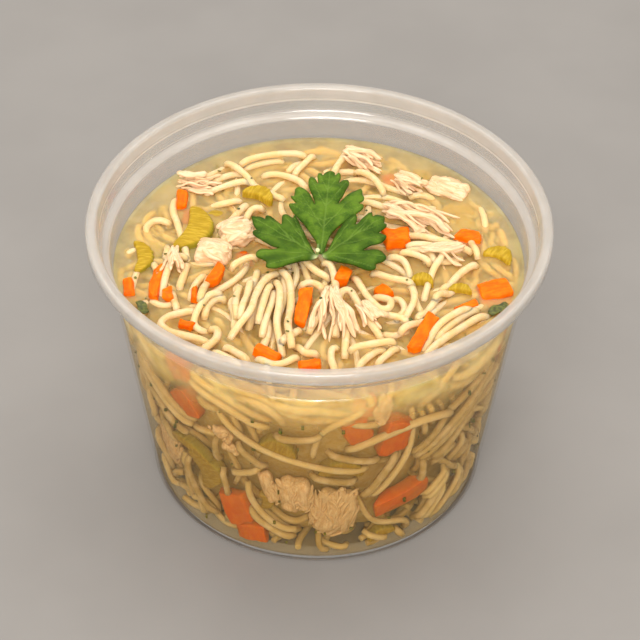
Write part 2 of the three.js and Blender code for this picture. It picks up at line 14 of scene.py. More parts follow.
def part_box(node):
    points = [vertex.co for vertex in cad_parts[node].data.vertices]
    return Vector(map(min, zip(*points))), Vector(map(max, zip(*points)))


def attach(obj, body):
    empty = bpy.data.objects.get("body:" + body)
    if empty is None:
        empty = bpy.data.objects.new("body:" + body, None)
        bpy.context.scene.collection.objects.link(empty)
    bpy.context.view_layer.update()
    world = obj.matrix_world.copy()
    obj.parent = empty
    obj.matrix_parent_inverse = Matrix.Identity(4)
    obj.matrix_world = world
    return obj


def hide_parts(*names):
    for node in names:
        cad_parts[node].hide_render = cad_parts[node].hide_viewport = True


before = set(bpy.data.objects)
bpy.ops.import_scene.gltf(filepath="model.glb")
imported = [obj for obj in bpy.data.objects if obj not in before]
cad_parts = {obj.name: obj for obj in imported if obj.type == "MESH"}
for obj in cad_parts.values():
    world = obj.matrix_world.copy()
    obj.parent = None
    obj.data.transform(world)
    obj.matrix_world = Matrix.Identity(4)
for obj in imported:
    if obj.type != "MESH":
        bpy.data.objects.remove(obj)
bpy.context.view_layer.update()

MM = 0.001
UP = (0, 0, 1)

# ---------------------------------------------------------------- driving dimensions

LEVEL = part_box("broth")[1].z / MM
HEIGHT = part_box("tub")[1].z / MM
RIM_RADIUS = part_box("tub")[1].x / MM
BASE_RADIUS = 44.0
SHOULDER_RADIUS = 53.5
SHOULDER_HEIGHT = 70.4
WALL = 0.8
FLOOR = 1.0
CORNER = 2.0
MOUTH = RIM_RADIUS - 2.9
SKIRT = 3.5

NOODLE = 1.05  # radius of a noodle
STEP = 0.7  # distance from point to point along a noodle
KEEP_IN = 50.4  # radius inside which everything at the surface stays
HEAP_MIDDLE = (1.0, 3.0)
HEAP_SPREAD = 23.0
HEAP_EDGE = 0.2  # how far the heap stands above the level at its edge
HEAP_RISE = 2.0  # and how much further in its middle
CLEAR_DROP = 1.1  # how much lower it lies where clear broth shows at the back
LAYER_STEP = 1.1  # how much higher each layer of strands lies
BROTH_DROP = 0.35  # how far the broth's surface lies under the edge of its meniscus

# How many things are strewn at random, and the seeds they are strewn with.
COUNT = {"under_strands": 380, "top_strands": 230, "shallow_strands": 45, "deep_strands": 440,
         "floor_strands": 210, "top_flecks": 46, "sunk_flecks": 90}
SEED = {"heap": 11, "shreds": 31, "wall": 23, "flecks": 41}

# Strands that show on the heap, by layer (1 lies on top, 0 is half sunk, -1 lies just under
# the surface). Each is the x and y of every point that its middle runs through, in a row.
STRANDS = {
    -1: [
        [-25.9, -29.8, -22.6, -27.5, -19.1, -30.8], [-41.9, -15.8, -38.8, -18, -35.4, -17.2],
        [-5.6, -15.1, -3.1, -19.7, -3.5, -26.4], [15.2, -27.6, 18.6, -28.3, 22.5, -26],
        [26.6, 0.3, 32.7, -0.4, 36.4, 2], [10.4, 0, 12.4, -2.4, 15.4, -2.3], [-46.5, 18,
        -46.6, 11, -44.2, 5.4], [-15.6, -8.6, -17.4, -16.2, -20.6, -24.6], [-13, -22, -12.2, -29,
        -14, -35], [17.5, 0.3, 21, -1.2, 22.5, -4.7, 22.9, -7], [21.1, 2.4, 24.9, 2.9, 28.2, 0.5,
        29.1, -1.8], [45.7, 21.7, 46.7, 15.9, 47.9, 8.9], [20.6, 1.6, 24.6, 0.1, 28.1, -2.6],
        [-20.2, 37.9, -15.2, 40.2, -9.6, 41.6], [-33.2, 31.6, -28.6, 36, -24.5, 39.6],
        [-28.5, 32.2, -24.8, 34.4, -20.6, 35.3], [-4.8, -0.1, -2.7, -4, -0.2, -7.1, 2.6, -8.6],
        [30.3, -14.3, 27.6, -18.9, 24.1, -22.7], [-42.3, -0.7, -40.5, -5.8, -40.4, -11.7],
        [-31.7, 9.9, -29.9, 5.1, -30.2, -0.5], [9.5, 35.9, 13.7, 32.5, 16.8, 26.6], [-5.4, 47,
        0.5, 48, 5.8, 46.3],
    ],
    0: [
        [-19.8, -15.6, -21.6, -18.7, -20.7, -23.2], [-25.7, -21.8, -23.7, -24, -22.5, -28.5],
        [-5.4, -33.3, -2.9, -36.2, 0, -36.1], [-4.7, -11.5, -1.7, -10.7, 1.3, -12.9],
        [-28.6, -6.5, -30.7, -10.4, -31.9, -15.8], [-11.2, -8.8, -14.8, -19.5, -17.2, -26.4],
        [-8.8, -8, -8.4, -16, -10, -24, -9.4, -31], [-15.3, -6.6, -15.9, -10.5, -16.8, -14.4],
        [-11.1, -13.9, -11.5, -18.9, -12.4, -23.8, -13.7, -31.3], [-10.7, -10.8, -9.6, -15.8,
        -9.7, -21.5, -10.1, -27.5, -8.5, -36.3], [18, -14.9, 20.2, -16, 21.2, -18.7, 20.9, -21,
        19.1, -22.9], [22.8, -11, 23.7, -14.8, 23.4, -18.7, 21, -24.7], [13.9, -21.8, 17.6, -23.3,
        22, -25.5], [9.4, -41.4, 11.6, -38.1, 14.1, -35.5, 16.5, -34.4], [14.2, -39.5,
        16.5, -36.6, 19.4, -33.3], [22.4, 4.4, 27.4, 4.1, 31.2, 3.3, 30.9, -0.7, 28.4, -5.8,
        26.2, -14.8], [34, -10.8, 30.7, -14.3, 28.6, -17], [39.5, -18.4, 33.8, -24.1,
        28.7, -30.5], [39.4, 28.2, 41.3, 24.9, 42.6, 19.5, 42.9, 14.1], [34.9, 26.9, 31.4, 23.9,
        27.4, 20.4], [-1.7, 44, -4, 39.9, -6.9, 35.1], [-21.3, 38.7, -16, 41, -9.7, 42.5,
        -3.8, 42.6], [-15.3, 34.9, -10.6, 34.6, -6.3, 32.5, -3.4, 29.2], [-30, 26.9, -26.2, 28.7,
        -22, 30.5, -17.9, 31.4], [-34.9, 14.3, -34.4, 19.3, -32.2, 21.8, -28, 22.3, -23.9, 22.4,
        -20.5, 24.2], [-36.6, 26.4, -38, 23.8, -38, 19.2, -36.7, 14.3, -35.1, 7.8, -33.2, -0.6],
        [-14.7, 20.1, -17.5, 18.8, -19.2, 14.6], [-38.5, 14.6, -42.4, 15, -44.6, 12.5, -42.9, 9.2,
        -39.9, 7.7, -38.7, 4.5, -38.8, 0.1], [-43.9, 4.8, -44.9, 0.3, -45.8, -4.8, -46.5, -9.5,
        -47, -13.8], [-23, -16.8, -25.4, -17.2, -27.3, -19.6, -28.1, -23], [-21.6, -21.3,
        -20.5, -24.7, -20.6, -28.8], [-34.5, -14, -33, -19.3], [-33.4, 0.1, -36.2, -0.3,
        -37.6, -3.5, -38.5, -8.6, -39.2, -14.4], [-33.3, -2.2, -33.9, -6.6, -34.9, -11.6],
        [-15, -37.1, -11.3, -39.6, -7.7, -39.5, -4.8, -36.9], [-25.7, -35.1, -22.2, -37.2,
        -18.7, -40.1], [-4.4, -28.5, -6.4, -31.1, -9, -33.4], [20, -29.2, 23, -26.2, 26.5, -22.4],
    ],
    1: [
        [-19.6, -13.4, -20.2, -18.4, -20.3, -23, -19.9, -26.7], [-16.9, -12.2, -17.5, -17.6,
        -18.3, -22.2, -19.1, -27.8], [-11.9, -13.3, -13, -17.5, -13.9, -22.9, -14.7, -27.7],
        [-10.2, -7.5, -13.4, -12.6, -15.4, -19.5, -16.9, -26.7, -21.4, -33], [-9.5, -7.1,
        -7.4, -12.1, -6.8, -19.3, -7.4, -28, -6.3, -36], [-13.6, -4.8, -15.8, -5.2, -18, -6.8],
        [-15.7, -1.3, -18.7, -2.5, -22.1, -5.3], [1, -3.7, 2.8, -5.3, 3.8, -8.8, 4.3, -13],
        [3.8, -14.6, 1.8, -18.8, 0.2, -23.4, -2.3, -28.6], [4.3, -29.6, 4.3, -21.8, 5.6, -15.3,
        7.8, -14.5, 9.8, -19, 12.2, -24.6, 15.5, -30.5], [6.8, -21, 6.8, -29.2, 6.5, -37.3],
        [4.8, -34.4, 3.4, -35.9, 3.2, -39.1, 4.1, -42.7], [8.8, -7.9, 10.5, -12.9, 13, -18.6,
        15.2, -22, 17.4, -21.6, 17.7, -18.5, 15.7, -16.7, 13.7, -15.5], [13.3, -7, 16.3, -8.9,
        19.5, -10.4, 23.5, -11.5], [7.7, -36.1, 13.1, -34.6, 18.7, -33], [17.1, 12.2, 22.7, 9.5,
        27.7, 5.9, 32.7, 4, 38.8, 2.9], [38.8, 9.4, 39.4, 4.9, 40.2, 0.5], [39.9, -1.8,
        34.9, -6.7, 30.5, -11.8], [41.5, -15.4, 36.1, -20.8, 29.8, -26.6, 25.2, -33.7],
        [42.8, -19.2, 36.7, -25.3, 31.1, -30.6, 26.1, -36.2], [3.4, 33.9, 5.5, 40, 7.4, 44.9,
        9, 48.9], [-25, 39.4, -21.1, 34.3, -17, 29.6, -13, 26.7, -9.3, 24.7], [-18.8, 20.3,
        -21, 16.1, -23.2, 11.9, -25.1, 8.2], [-49.5, 1.7, -46.6, 4.2, -43.1, 5.4, -40, 3.9],
        [-29.9, -20.9, -33.1, -22.4, -36.9, -24, -38.5, -26.7, -36.9, -28.9, -33.4, -30.6,
        -26.5, -32.4], [-24.2, -15.8, -26.9, -17.4, -29.2, -21.2, -30.5, -25.4, -28.9, -27.6,
        -26, -26.8, -21.4, -24.9], [-26.5, -27.6, -24.7, -29, -24.6, -31.6, -26.2, -34.2,
        -28.5, -36.4], [-22.8, -34.5, -20, -36.6, -16.8, -39.5], [-36.7, -13.4, -35.8, -17.2,
        -34.9, -21], [-27.2, -8.5, -28.3, -13.6, -29.2, -19.7], [-42.3, -16.2, -43.7, -17.7,
        -43.6, -22.3],
    ],
}

# Shredded chicken: x, y, heading, length, turn, number of strips, width, fan.
SHREDS = [
    (-37.5, 31.6, -22, 12, 18, 18, 4.6, 8), (7, 43, -18, 12, -30, 18, 6, 12),
    (19.4, 33, -38, 10.5, -8, 18, 5.4, 10), (17, 19.4, -18, 21, -16, 24, 7.6, 6),
    (26, 1, 4, 13, 6, 12, 3.6, 0), (2.8, -15, -91, 19, 2, 18, 4, 11),
    (10.6, -20, -62, 10, 0, 18, 4, 20), (-36.4, 1, -98, 9, 26, 12, 3.4, 14),
]

# Noodles that show through the side, near the wall: angle round the tub (-90 is the front)
# and height of the start, heading (90 is up), length, turn, how many and how far apart.
WALL_STRANDS = [
    (-121, 50.5, -38, 44, 28, 1, 0), (-130, 60, -20, 24, -8, 2, 2.4),
    (-126, 61.5, -24, 8, 0, 1, 0), (-116, 55, 62, 19, -150, 1, 0),
    (-125, 62.5, -4, 31, -8, 2, 2.3), (-109, 58, -10, 18, -6, 1, 0),
    (-108.5, 46, 60, 6, 0, 1, 0), (-102.5, 47.5, 5, 12, 4, 1, 0),
    (-122.5, 40, -90, 8, 8, 1, 0), (-115, 41, -42, 10, 0, 1, 0),
    (-118, 29, 26, 10, 8, 1, 0), (-122, 28, -62, 10, -40, 1, 0),
    (-113, 26, -78, 22, 62, 1, 0), (-112, 17, -48, 16, 26, 2, 2.4),
    (-138, 24, -88, 20, 54, 1, 0), (-160, 51, -28, 26, -6, 3, 3.2),
    (-81, 42.5, 38, 34, -78, 1, 0), (-91, 40, 95, 23, -88, 1, 0),
    (-59.5, 51, -92, 31, -42, 1, 0), (-63, 37, -126, 17, 4, 2, 2.6),
    (-87, 42.5, -22, 15, 0, 1, 0), (-92, 33.5, -16, 13, -2, 1, 0),
    (-57, 33, 39, 34, -10, 3, 2.7), (-50, 30, 41, 20, -6, 2, 3),
    (-55, 50, -78, 9, 0, 2, 2.8), (-53, 30, -92, 8, 0, 1, 0),
    (-51, 30, -40, 8, 10, 1, 0), (-50, 14, 34, 10, 0, 2, 3), (-73, 8, -28, 9, 0, 1, 0),
    (-50, 5, 60, 12, -20, 2, 3), (-98, 56, -6, 24, -10, 2, 2.4), (-47, 56, -6, 22, 14, 2, 3),
]

# Vegetables and chicken at the wall: angle, height of the middle, width, height,
# thickness, tilt, and how deep behind the wall the front face lies.
WALL_CARROTS = [
    (-133, 60.2, 7.4, 8, 4, 12, 0.5), (-135.5, 45.6, 9, 9, 4, 30, 1.8),
    (-118, 14.4, 10.5, 10.5, 4.5, 24, 0.4), (-112.6, 6.6, 9, 6, 4, 10, 0.4),
    (-65.6, 45, 8.4, 12, 4.5, -12, 0.5), (-78, 49.6, 8, 8.4, 4, 20, 1.4),
    (-60.5, 18.4, 17, 7, 4, 12, 0.6), (-76, 57, 7, 6, 4, 0, 2.4),
]
WALL_CELERY = [
    (-143, 54.6, 11, 7, 3.6, -10, 0.5), (-102, 42, 9, 11.5, 4, 76, 1.2),
    (-129.5, 23, 13, 13, 4, 20, 1.4), (-135, 30.4, 4.4, 15, 3, 86, 0.8),
    (-61, 60, 6.6, 12, 4, 98, 0.4), (-82, 34.6, 7.4, 13, 4, 86, 1.0),
    (-66, 5.8, 4.4, 9, 3, 100, 0.6), (-107, 20, 5, 6, 3, 0, 1.6),
]
WALL_CHICKEN = [
    (-97, 24.4, 10.6, 13.6, 4.5, 4, 0.5), (-105, 27, 4, 13, 3, 14, 0.4),
    (-84, 17.6, 14, 19, 5, -10, 0.5), (-120, 43, 8.4, 4, 3, -24, 0.4),
    (-117, 38.6, 6, 3, 3, -6, 0.4), (-71, 57, 3, 12, 2.6, -6, 0.3),
    (-76, 59, 3, 7, 2.6, 4, 0.3),
]
# How many more of each lie round the rest of the wall, and how wide they are.
RANDOM_AT_WALL = {"carrot": (8, 8.5), "celery": (7, 10.0), "chicken": (7, 11.0)}

# Pieces wholly under the surface that show from above: x, y, width, length, thickness,
# heading, and how deep the top lies.
SUNK_CARROTS = [
    (20, 36, 7, 6, 4, 20, 1.2), (-19.4, 2, 5, 4, 3, 10, 0.4), (-34, 20, 3, 6, 3, 0, 1.5),
]
SUNK_CELERY = [
    (27, 38, 6, 6, 3.6, 0, 1.6), (37, 17, 8, 8.4, 4, -20, 1.0), (36, 24, 6.4, 9, 3.6, 90, 1.4),
    (-24, -26, 3, 5, 3, 60, 0.8), (20, 44, 5, 6, 3, 20, 3), (-28.5, 15.5, 8.5, 12, 3, 165, 0.3),
    (-42, 5, 4.4, 8, 3, 0, 1.2),
]

# Specks of herb that show at the surface.
FLECKS = [(-18, 31), (-16, 30), (46, 5), (39.5, 32), (-46, -8), (-39, 1), (44, 20), (43, 20.6)]

# Outlines of the parsley's three leaflets, as the x and y of every point in a row, where the
# camera's line of sight through the point passes AIM_LIFT over the broth's level. Each starts
# and ends at the stem.
LEAFLETS = [
    [0, 2.2, -0.3, 4.6, -1, 7.4, -2.1, 9.8, -3.4, 12.6, -4.6, 15.1, -5.8, 16.9, -6.9, 18.8,
     -7.7, 20.7, -8, 21.9, -7.7, 22.4, -6.9, 22.4, -6.2, 22.7, -6.9, 24, -7.5, 25, -7.5, 25.7,
     -7, 25.6, -6.7, 25.7, -6.6, 27, -6.5, 28.4, -6, 29.3, -5.6, 29.5, -4.9, 29.1, -4.1, 28.4,
     -3.4, 27.7, -2.7, 26.6, -2.1, 25.1, -1.6, 23.4, -1.2, 21.9, -1.4, 23.8, -1.9, 26, -2.6, 28.2,
     -3, 30.2, -3, 32.1, -2.7, 33.2, -2.2, 33.6, -1.5, 33.3, -1, 32.7, -0.5, 31.4, -0.5, 32.6,
     -0.7, 34, -0.5, 35.2, -0.1, 35.5, 0.4, 35.3, 0.8, 34.5, 1.2, 35.3, 1.8, 36.1, 2.6, 36.5,
     3.4, 36.1, 3.9, 35.4, 4, 34.5, 4.4, 34.9, 4.9, 35.4, 5.4, 35, 5.5, 33.9, 5.3, 32.7, 5, 31.2,
     5.6, 32.1, 6.2, 32.7, 6.9, 32.9, 7.4, 32.7, 7.7, 31.9, 7.6, 30.8, 7.1, 29.3, 6.5, 27.4,
     5.8, 25.5, 5.2, 23.8, 4.9, 22.6, 5.6, 23.6, 6.4, 25.1, 7.4, 26.6, 8.4, 27.7, 9.5, 28.2,
     10.6, 28.7, 11, 28.4, 11.2, 27.5, 11.2, 26.2, 11.6, 25.4, 11.5, 24.4, 11, 23.7, 10.4, 23.1,
     10.6, 22.5, 11.1, 22.4, 11.5, 21.9, 11.3, 21.1, 10.8, 20.1, 10, 19.2, 9.1, 18, 8, 17,
     7.1, 16, 6.2, 14.7, 5, 13.2, 3.8, 11.5, 3, 9.9, 2.5, 8.2, 2, 6.4, 1.7, 4.8, 1.2, 2.6],
    [-0.1, 1.8, -0.9, 1.8, -1.6, 3.5, -2.3, 5.5, -3.1, 7.9, -3.9, 10.4, -4.7, 13, -5.4, 15.1,
     -6, 16.7, -6.3, 17.3, -6.7, 17.3, -6.8, 16.4, -7.3, 16.7, -7.7, 17.2, -8.3, 17.7, -8.9, 17.9,
     -9.5, 17.6, -9.7, 16.8, -9.7, 15.4, -9.8, 13.7, -10.4, 14.2, -11.1, 15.2, -11.9, 16.3,
     -12.7, 17.1, -13.5, 17.3, -13.9, 17, -14.1, 15.9, -14.6, 16.4, -15.4, 16.9, -16.4, 16.9,
     -17.3, 17, -17.6, 16.6, -17.4, 15.7, -17.2, 14.4, -16.9, 13.2, -16.5, 12.2, -16, 11.5,
     -16.7, 11.2, -17.1, 10.8, -17, 10.1, -16.6, 9.4, -16.1, 8.6, -15.4, 8, -14.8, 7.4,
     -14.1, 6.5, -13.1, 5.8, -12, 5.1, -11, 4.5, -10.2, 4.1, -11.1, 3.7, -12.3, 3.6, -13.5, 3.8,
     -14.7, 3.7, -15.5, 3.2, -16, 2.4, -16, 1.5, -15.7, 0.6, -15.1, 0, -14.3, -0.6, -13.6, -1.1,
     -13.3, -1.8, -13.4, -2.9, -12.8, -3.5, -11.8, -3.6, -10.6, -3.5, -9.1, -3, -7.6, -2.2,
     -6.3, -1.6, -4.8, -1, -3.3, -0.6, -2, -0.3, -0.5, 0.4],
    [0.6, 1.8, 1.8, 3, 2.6, 4.6, 3.1, 6.2, 3.6, 8.1, 4.3, 10.1, 4.9, 11.8, 5.6, 13.1, 6.3, 14.6,
     7, 15.9, 7.9, 17.1, 8.8, 17.9, 9.3, 18.4, 9.5, 17.9, 9.7, 16.8, 9.6, 15.5, 9.3, 14.2,
     10.1, 14.8, 10.7, 15.9, 11.5, 17, 12.2, 17.9, 12.8, 18.7, 13.4, 18.9, 13.7, 18.4, 13.8, 17.4,
     14.4, 17.9, 15.1, 18.2, 16, 18, 16.7, 17.7, 16.9, 16.9, 16.8, 15.6, 16.8, 14.5, 17.3, 14.2,
     17.3, 13.4, 16.9, 12.6, 16.1, 11.7, 15.4, 11.1, 15, 10.7, 15.6, 10.6, 16.3, 10.3, 17, 9.9,
     17.2, 9.4, 16.9, 8.5, 16.2, 7.3, 15.3, 6.4, 14.4, 5.9, 13.2, 5.5, 12.2, 4.9, 11.2, 4,
     12.2, 3.7, 13.5, 3.8, 14.7, 3.7, 15.6, 3.2, 16.4, 2.3, 17, 1.4, 17, 0.6, 16.5, -0.2,
     15.7, -0.7, 14.9, -1.2, 14.3, -2.1, 14.4, -3.3, 14, -4.1, 13.1, -4.3, 12.2, -4.1, 11.1, -3.6,
     10.1, -3, 9.1, -2.3, 7.8, -1.8, 6.6, -1.5, 5.3, -1, 4, -0.6, 2.8, -0.3, 1.8, 0, 1, 0.6],
]
# Each leaflet's veins: x and y where they leave the midrib, and of their ends.
VEINS = [
    [(0.5, 2.6, 2.6, 35.5), (0.8, 11.9, -5.6, 28), (0.9, 11.9, 10.3, 27.5), (1, 14.8, -7.6, 21.7),
     (1, 14.8, 11, 21.4), (1.4, 21, -2.2, 32.4), (1.7, 21, 7, 31.7), (2, 27.3, 0, 34.4),
     (2.1, 27.3, 4.9, 34), (-2.8, 20.9, -6.8, 24.6)],
    [(-0.4, 0.8, -16.9, 15.7), (-1.8, 2.1, -8.9, 16.6), (-4.9, 4.9, -13.3, 16.2),
     (-5.9, 5.7, -16.5, 10.7), (-2.8, 1.7, -15.4, 2.3), (-3.8, 0.9, -12.4, -2.6),
     (-8, 7.9, -9.9, 11.3), (-3.3, 3.7, -6.6, 16.3)],
    [(1, 0.6, 16.4, 16.7), (2.3, 2.6, 9.1, 17.2), (6.8, 6.7, 13.3, 17.9), (5.8, 5.3, 16.6, 9.3),
     (3, 1.8, 16.5, 1.1), (3.8, 1, 13.5, -3.4), (11, 10.8, 15.3, 13.4), (9.4, 9.2, 12.5, 15.4)],
]
# The parsley: where it is held, how high over the broth, how far it arches up from there,
# its thickness, how far it reaches, and its gap to what lies under it.
LEAF = {"stem": (-0.4, -2.4), "lift": 3.9, "arch": 2.0, "thick": 0.34, "reach": 35, "gap": 0.25}

# Lights: place, size of the panel, watts and colour.
LIGHTS = {
    "key": ((0, 450, 1320), (1500, 1200), 12.4, (1.0, 0.97, 0.92)),
    "fill": ((-100, -1100, 1000), (900, 700), 16.4, (1.0, 0.98, 0.95)),
    "lamp": ((0, -1150, 1050), (90, 90), 2.4, (1.0, 0.98, 0.95)),
}
LIT_AT = (0, 0, 50)  # where the lights point
SKY = ((1.0, 0.97, 0.93, 1), 0.7)  # colour and strength of the light from all round

# ---------------------------------------------------------------- camera

VIEW = {
    "aim": (0.0, 0.0, 40.0),
    "distance": 625.0,
    "elevation": 41.37,
    "lens": 135.0,
    "roll": 0.66,
    "shift": (0.00288, 0.02225),
}
AIM_LIFT = 0.6  # how high over the broth's level the outlines of the leaflets are given


def camera_place():
    tilt = math.radians(VIEW["elevation"])
    back = Vector((0, -math.cos(tilt), math.sin(tilt)))
    return Vector(VIEW["aim"]) + back * VIEW["distance"]


def make_camera():
    data = bpy.data.cameras.new("camera")
    data.lens = VIEW["lens"]
    data.sensor_width = 36
    data.shift_x, data.shift_y = VIEW["shift"]
    data.clip_start = 0.01
    camera = bpy.data.objects.new("camera", data)
    place = camera_place()
    facing = (Vector(VIEW["aim"]) - place).to_track_quat("-Z", "Y").to_matrix().to_4x4()
    roll = Matrix.Rotation(math.radians(VIEW["roll"]), 4, "Z")
    camera.matrix_world = Matrix.Translation(place * MM) @ facing @ roll
    bpy.context.scene.collection.objects.link(camera)
    bpy.context.scene.camera = camera


def seen_at(point, height):
    """Where the camera's line of sight through a point at the surface meets a height."""
    eye = camera_place()
    aim = Vector((*point, LEVEL + AIM_LIFT))
    share = (height - eye.z) / (aim.z - eye.z)
    return eye + (aim - eye) * share


# ---------------------------------------------------------------- tools for shapes


def waves(points, scale, seed, octaves=3):
    """Smooth values from about -1 to 1 that vary over a distance of scale."""
    random = np.random.default_rng(seed)
    total = np.zeros(len(points))
    for octave in range(octaves):
        for _ in range(5):
            way = random.normal(size=points.shape[1])
            way *= 2 * math.pi * 2**octave / (scale * np.linalg.norm(way))
            total += np.sin(points @ way + random.uniform(0, 2 * math.pi)) / 2**octave
    return total / 4


def make_piece(name, parts, material, slot, node=None):
    """Joins parts into one mesh that rides on the tub's body.

    A part is its vertices in millimetres, its groups of faces, and where the look needs
    them, marks: a value or three for each vertex, by name.
    """
    vertices, loops, sizes, start = [], [], [], 0
    values = {mark: [] for marks in parts[0][2:] for mark in marks}
    for part in parts:
        vertices.append(part[0])
        for group in part[1]:
            loops.append((group + start).ravel())
            sizes.append(np.full(len(group), group.shape[1]))
        for mark in values:
            values[mark].append(part[2][mark])
        start += len(part[0])
    loops, sizes = np.concatenate(loops), np.concatenate(sizes)
    mesh = bpy.data.meshes.new(name)
    mesh.vertices.add(start)
    places = (np.concatenate(vertices) * MM).astype(np.float32)
    mesh.vertices.foreach_set("co", places.ravel())
    mesh.loops.add(len(loops))
    mesh.loops.foreach_set("vertex_index", loops.astype(np.int32))
    mesh.polygons.add(len(sizes))
    mesh.polygons.foreach_set("loop_start", (np.cumsum(sizes) - sizes).astype(np.int32))
    mesh.update(calc_edges=True)
    mesh.polygons.foreach_set("use_smooth", sizes <= 4)
    for mark, arrays in values.items():
        joined = np.concatenate(arrays).astype(np.float32)
        kind, field = ("FLOAT", "value") if joined.ndim == 1 else ("FLOAT_VECTOR", "vector")
        mesh.attributes.new(mark, kind, "POINT").data.foreach_set(field, joined.ravel())
    mesh.materials.append(material)
    piece = bpy.data.objects.new(name, mesh)
    bpy.context.scene.collection.objects.link(piece)
    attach(piece, "root")
    if node:
        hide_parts(node)
    return piece


def turned(profile, sides, radius_of=None):
    """A profile of (radius, height) points that starts and ends on the axis, turned about Z."""
    profile = np.array(profile, float)
    ring = profile[1:-1]
    r, z = np.repeat(ring[:, 0], sides), np.repeat(ring[:, 1], sides)
    a = np.tile(np.arange(sides) * 2 * math.pi / sides, len(ring))
    if radius_of is not None:
        r = radius_of(r, a, z)
    points = np.stack([r * np.cos(a), r * np.sin(a), z], 1)
    return closed_round(points, sides, profile[0, 1], profile[-1, 1], True)


def closed_round(points, sides, start, end, upward):
    """Rings of vertices closed at both ends by points on the axis, at those heights."""
    rings, first = len(points) // sides, len(points)
    points = np.vstack([points, [0, 0, start], [0, 0, end]])
    return points, [round_quads(rings, sides, upward),
                    round_end(first, 0, sides, not upward),
                    round_end(first + 1, (rings - 1) * sides, sides, upward)]


def round_quads(rings, sides, upward):
    """Faces between rings of vertices, facing outward where the rings go up."""
    i = np.arange(sides)
    j = (i + 1) % sides
    row = np.arange(rings - 1)[:, None] * sides
    corners = [row + i, row + j, row + sides + j, row + sides + i]
    return np.stack(corners if upward else corners[::-1], -1).reshape(-1, 4)


def round_end(tip, start, sides, upward):
    """Faces from one ring to a point on the axis."""
    i = start + np.arange(sides)
    j = start + (np.arange(sides) + 1) % sides
    corners = [np.full(sides, tip), i, j] if upward else [np.full(sides, tip), j, i]
    return np.stack(corners, 1)


def arc(middle, radius, start, end, steps):
    angles = np.radians(np.linspace(start, end, steps + 1))
    return [(middle[0] + radius * math.cos(a), middle[1] + radius * math.sin(a)) for a in angles]


def tube(line, up, radius, sides, flatten=1.0, tip=0.9, twist=0.0):
    """A closed tube round a line of points. Up is a way it is laid against."""
    count = len(line)
    along = np.gradient(line, axis=0)
    along /= np.linalg.norm(along, axis=1)[:, None]
    across = np.cross(along, up)
    across /= np.linalg.norm(across, axis=1)[:, None]
    over = np.cross(across, along)
    size = np.broadcast_to(np.asarray(radius, float), (count,)).copy()
    size[[0, -1]] *= tip
    angle = np.arange(sides) * 2 * math.pi / sides
    turn = twist * np.linspace(0, 1, count)[:, None]
    wide = np.cos(angle)[None] * size[:, None]
    high = np.sin(angle)[None] * size[:, None] * flatten
    side = wide * np.cos(turn) - high * np.sin(turn)
    rise = wide * np.sin(turn) + high * np.cos(turn)
    points = line[:, None] + side[..., None] * across[:, None] + rise[..., None] * over[:, None]
    return points.reshape(-1, 3), closed_rings(count, sides)


def closed_rings(count, sides):
    """Faces of a run of rings with both ends capped."""
    ring = np.arange(sides)
    return [round_quads(count, sides, False),
            np.stack([ring, (count - 1) * sides + ring[::-1]])]


def path(start, heading, length, turn, sway, random, step=STEP):
    """Points of a strand that starts at a place and turns evenly, with a slight sway."""
    count = max(4, int(length / step))
    t = (np.arange(count) + 0.5) / count
    swing = np.sin(2 * math.pi * (t * random.uniform(0.7, 1.6) + random.random()))
    angle = np.radians(heading + turn * t + sway * (swing - swing[0]))
    steps = np.stack([np.cos(angle), np.sin(angle)], 1) * length / count
    return np.vstack([start, np.asarray(start) + np.cumsum(steps, 0)])


def runs_of(keep, shortest):
    """The unbroken runs of True in an array that are at least that long, as slices."""
    edges = np.flatnonzero(np.diff(np.concatenate([[0], keep.astype(int), [0]])))
    return [slice(a, b) for a, b in zip(edges[::2], edges[1::2]) if b - a >= shortest]


def smoothed(line, passes, bed=-np.inf):
    """A line of heights made soft, but nowhere lower than its bed."""
    for _ in range(passes):
        padded = np.concatenate([line[:1], line, line[-1:]])
        line = np.maximum(bed, (padded[:-2] + 2 * line + padded[2:]) / 4)
    return line


def bridged(bed, passes):
    """A strand's own line over an uneven bed: it bends softly and never dips into it."""
    return smoothed(bed, passes, bed)


def hung(line, limit, passes=25):
    """The line lowered softly to where it keeps under a limit."""
    return -bridged(-np.minimum(line, limit), passes)


def thinned(count, every):
    """Indices of every so many points and of the last."""
    return np.unique(np.append(np.arange(0, count, every), count - 1))


def tapered(count, steep, tip):
    """Shares of a radius along a strip that thins towards both of its ends."""
    t = np.linspace(0, 1, count)
    return np.minimum(1, steep * np.minimum(t, 1 - t) + tip)


def in_disc(random, reach):
    """A place anywhere in a circle round the axis."""
    reach = reach * math.sqrt(random.random())
    angle = random.uniform(0, 2 * math.pi)
    return np.array([reach * math.cos(angle), reach * math.sin(angle)])


def loose_path(random, reach, sway):
    """Points of a strand that starts anywhere in a circle and runs in any direction."""
    return path(in_disc(random, reach), random.uniform(0, 360), random.uniform(12, 34),
                random.normal(0, 70), sway, random)


